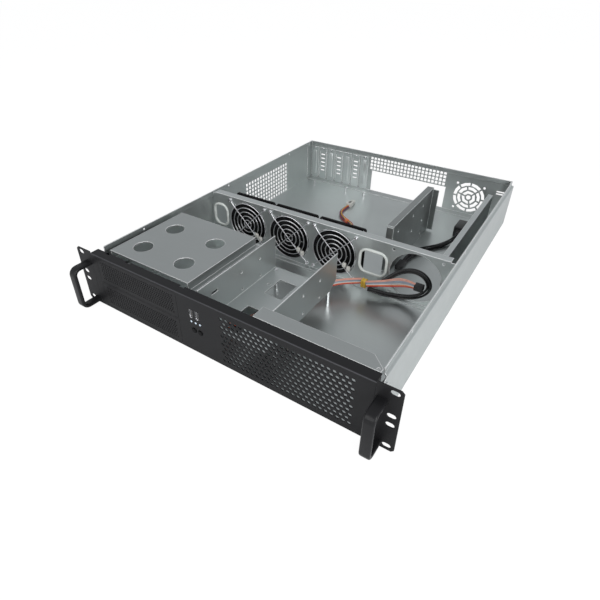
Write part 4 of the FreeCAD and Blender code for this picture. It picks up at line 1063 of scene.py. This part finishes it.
# ---- fan wall
class CASE_OT_fan_guards(bpy.types.Operator):
    """Make the wire guards of the fans"""
    bl_idname = "rack_case.fan_guards"
    bl_label = "Fan guards"

    ring_first: length("First ring", 7.3)
    ring_step: length("Ring step", 7.4)
    ring_count: count("Rings", 5)
    screw_pitch: length("Screw pitch", 71.5)
    eye: length("Eye radius", 2.4)

    def execute(self, context):
        wire = context.scene.rack_case_sizes.guard_wire
        for name in numbered("fan_guard", 3):
            low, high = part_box(name)
            middle = (low + high) / 2
            made = bmesh.new()
            ring_y = high.y - wire / 2
            arm_y = low.y + wire / 2
            for n in range(self.ring_count):
                add_ring(made, (middle.x, ring_y, middle.z), self.ring_first + n * self.ring_step, wire)
            reach = self.ring_first + (self.ring_count - 1) * self.ring_step
            for dx in (-0.5, 0.5):
                for dz in (-0.5, 0.5):
                    outward = Vector((dx, 0, dz)).normalized()
                    bend = Vector((middle.x, arm_y, middle.z)) + outward * reach
                    eye = Vector((middle.x + dx * self.screw_pitch, ring_y, middle.z + dz * self.screw_pitch))
                    add_bar(made, (middle.x, arm_y, middle.z), bend, wire / 2, 8)
                    add_bar(made, bend, eye - outward * self.eye, wire / 2, 8)
                    add_ring(made, eye, self.eye, wire, 20)
            add_piece(name + "_wire", made, "chromed_wire", [name])
        return {"FINISHED"}


class CASE_OT_fan_rotors(bpy.types.Operator):
    """Make the rotors with their wide curved blades"""
    bl_idname = "rack_case.fan_rotors"
    bl_label = "Fan rotors"

    hub: length("Hub radius", 17.5)
    tip: length("Blade reach", 34.9)
    wall: length("Hub wall", 1.5)
    gap: length("Blade thickness", 1.2)
    blades: count("Blades", 7)
    sweep: degrees("Sweep of a blade", 66)
    deep: length("Blade depth", 9)
    lean: degrees("Lean towards the tip", 14)

    def execute(self, context):
        for number in (1, 2, 3):
            name = "fan_rotor_" + str(number)
            low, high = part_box(name)
            frame_low, frame_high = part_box("fan_frame_" + str(number))
            middle = (frame_low + frame_high) / 2
            made = bmesh.new()
            self.add_cup(made, middle, low.y, high.y)
            for n in range(self.blades):
                start = low.y + self.wall
                self.add_blade(made, middle, start, start + self.deep, 2 * math.pi * n / self.blades)
            add_piece(name + "_wheel", made, "fan_moulding", [name],
                      50, name)
        return {"FINISHED"}

    def add_cup(self, made, middle, front, back):
        """The hub: a cup with an eased face, its wall and its shaft."""
        before = set(made.edges)
        add_bar(made, (middle.x, front, middle.z), (middle.x, front + self.wall * 2, middle.z), self.hub, 40)
        rim = [edge for edge in made.edges if edge not in before and len(edge.link_faces) == 2
               and all(vert.co.y < front + self.wall for vert in edge.verts)]
        bmesh.ops.bevel(made, geom=rim, offset=self.wall, segments=3, profile=0.5, affect="EDGES",
                        material=-1)
        loops = [polygon(middle.x, middle.z, radius, 40) for radius in (self.hub, self.hub - self.wall)]
        start = front + self.wall * 1.5
        take_in(made, cut_plate("hub", loops, back - 3 * MM - start, FRONT, start))
        add_bar(made, (middle.x, front + self.wall, middle.z), (middle.x, back, middle.z), self.wall, 16)

    def add_blade(self, made, middle, front, back, turn):
        """A blade as a grid wound round the shaft, then given its thickness."""
        verts = bmesh.ops.create_grid(made, x_segments=8, y_segments=5, size=0.5)["verts"]
        root = self.hub - self.wall / 2
        for vert in verts:
            along, out = vert.co.x + 0.5, max(0.0, vert.co.y + 0.5)
            radius = root + out * (self.tip - root)
            angle = turn + self.sweep * (along - 0.5) + self.lean * out ** 1.5
            belly = 1.2 * MM * math.sin(math.pi * along)
            vert.co = (middle.x + radius * math.cos(angle), back + (front - back) * along + belly,
                       middle.z + radius * math.sin(angle))
        faces = list({face for vert in verts for face in vert.link_faces})
        bmesh.ops.recalc_face_normals(made, faces=faces)
        bmesh.ops.solidify(made, geom=faces, thickness=self.gap)


class CASE_OT_fan_plugs(bpy.types.Operator):
    """Make the small connectors tucked behind the rim of each guard"""
    bl_idname = "rack_case.fan_plugs"
    bl_label = "Fan plugs"

    away: lengths("From the shaft", 19, -17)
    step: lengths("To the next", 7.2, -4.5)
    size: lengths("Size", 5.4, 4, 6.4)

    def execute(self, context):
        made = bmesh.new()
        wide, deep, tall = self.size
        for name in numbered("fan_guard", 3):
            low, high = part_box(name)
            middle = (low + high) / 2
            front = low.y - deep
            for half in range(2):
                x = middle.x + self.away[0] + half * self.step[0]
                z = middle.z + self.away[1] + half * self.step[1]
                add_box(made, (x, front, z), (x + wide, low.y, z + tall), 0.5 * MM)
                for n in range(3):
                    rib = x + wide * (n + 0.5) / 3
                    add_bar(made, (rib, front + MM, z + tall - 0.4 * MM),
                            (rib, front + 2 * MM, z + tall + 2 * MM), 0.5 * MM, 8)
        add_piece("fan_plugs", made, "connector_white", ())
        return {"FINISHED"}


class CASE_OT_slot_ribs(bpy.types.Operator):
    """Make the raised bead of each plain slot cover and the narrow ribs of each vented one"""
    bl_idname = "rack_case.slot_ribs"
    bl_label = "Slot ribs"

    bead: length("Bead width", 8)
    rib: length("Rib width", 1.6)
    rise: length("Rise", 0.9)
    plain: length("Plain ends", 9)

    def execute(self, context):
        made = bmesh.new()
        for number in range(1, 8):
            low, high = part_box("slot_cover_" + str(number))
            middle = (low.x + high.x) / 2
            edge = (high.x - low.x) / 2 - self.rib
            strips = [(-edge, self.rib), (edge, self.rib)] if number % 2 == 0 else [(0, self.bead)]
            for shift, wide in strips:
                left = middle + shift - wide / 2
                add_box(made, (left, low.y - self.rise, low.z + self.plain),
                        (left + wide, low.y + self.rise / 2, high.z - self.plain), self.rise * 0.6)
        add_piece("slot_ribs", made, "slot_cover_plate", ())
        return {"FINISHED"}


class CASE_OT_screws(bpy.types.Operator):
    """Make the cross-head screws of the fans, the slot covers and the ears"""
    bl_idname = "rack_case.screws"
    bl_label = "Screws"

    fan_head: length("Head of a fan screw", 1.8)
    head: length("Head of the other screws", 1.6)

    def execute(self, context):
        for node, facing, head in (("fan_screws", -1, self.fan_head), ("slot_screws", -1, self.head),
                                   ("handle_screws_right", 1, self.head),
                                   ("handle_screws_left", 1, self.head)):
            made = bmesh.new()
            for low, high in node_solids(node):
                self.add_screw(made, low, high, facing, head)
            add_piece(node + "_heads", made, "plated_screws", [node])
        return {"FINISHED"}

    def add_screw(self, made, low, high, facing, head):
        """A cheese head with a cross in it, and its shank. Facing is -1 for a head that looks forwards."""
        toward = Vector((0, facing, 0))
        middle = (low + high) / 2
        radius = (high.x - low.x) / 2 * 0.86
        tip = middle.copy()
        tip.y = low.y if facing < 0 else high.y
        end = middle.copy()
        end.y = high.y if facing < 0 else low.y
        arm, bar = radius * 0.55, radius * 0.14
        cross = [(arm, -bar), (arm, bar), (bar, bar), (bar, arm), (-bar, arm), (-bar, bar),
                 (-arm, bar), (-arm, -bar), (-bar, -bar), (-bar, -arm), (bar, -arm), (bar, -bar)]
        top = head * 0.6
        face = cut_plate("screw", [polygon(0, 0, radius, 20), cross], top, FRONT, 0, head * 0.28)
        shift = tip.copy()
        if facing > 0:
            shift.y -= top
        take_in(made, face, Matrix.Translation(shift))
        add_bar(made, tip - toward * top * 0.9, tip - toward * head, radius, 20)
        add_bar(made, tip - toward * head * 0.95, end, radius * 0.5, 10)


class CASE_OT_edging(bpy.types.Operator):
    """Make the soft strips round the cable openings"""
    bl_idname = "rack_case.edging"
    bl_label = "Edging"

    over: length("Over the sheet", 2.2)
    wall: length("Wall", 1.5)
    corner: length("Corner", 12)

    def execute(self, context):
        for side in ("left", "middle"):
            name = "cable_edging_" + side
            low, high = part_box(name)
            outer, inner = [
                oblong((low.x - out, low.z - out), (high.x + out, high.z + out), self.corner + out, 8)
                for out in (self.over, -self.wall)]
            made = bmesh.new()
            take_in(made, cut_plate(name, [outer, inner], high.y - low.y, FRONT, low.y, 0.7 * MM))
            add_piece(name + "_strip", made, "white_edging", [name], 60)
        return {"FINISHED"}


# ---- panel and running order
PIECES = [CASE_OT_stage, CASE_OT_finishes, CASE_OT_front_wires, CASE_OT_spare_loop, CASE_OT_fan_lead,
          CASE_OT_supply_lead, CASE_OT_tape, CASE_OT_bezel, CASE_OT_bay_covers, CASE_OT_handles,
          CASE_OT_usb_ports, CASE_OT_fan_guards, CASE_OT_fan_rotors, CASE_OT_fan_plugs, CASE_OT_slot_ribs,
          CASE_OT_screws, CASE_OT_edging]


class CASE_PT_panel(bpy.types.Panel):
    """Lists what dresses the case"""
    bl_idname = "CASE_PT_panel"
    bl_label = "Rack case"
    bl_space_type = "VIEW_3D"
    bl_region_type = "UI"
    bl_category = "Rack case"

    def draw(self, context):
        for piece in PIECES:
            self.layout.operator(piece.bl_idname)
        for group in (context.scene.rack_case_paints, context.scene.rack_case_sizes):
            for name in group.__annotations__:
                self.layout.prop(group, name)


CLASSES = [CasePaints, CaseSizes, *PIECES, CASE_PT_panel]


def register():
    for made in CLASSES:
        bpy.utils.register_class(made)
    bpy.types.Scene.rack_case_paints = bpy.props.PointerProperty(type=CasePaints)
    bpy.types.Scene.rack_case_sizes = bpy.props.PointerProperty(type=CaseSizes)


def unregister():
    del bpy.types.Scene.rack_case_sizes
    del bpy.types.Scene.rack_case_paints
    for made in reversed(CLASSES):
        bpy.utils.unregister_class(made)


def main():
    register()
    for piece in PIECES:
        group, name = piece.bl_idname.split(".")
        getattr(getattr(bpy.ops, group), name)()


if __name__ == "__main__":
    main()
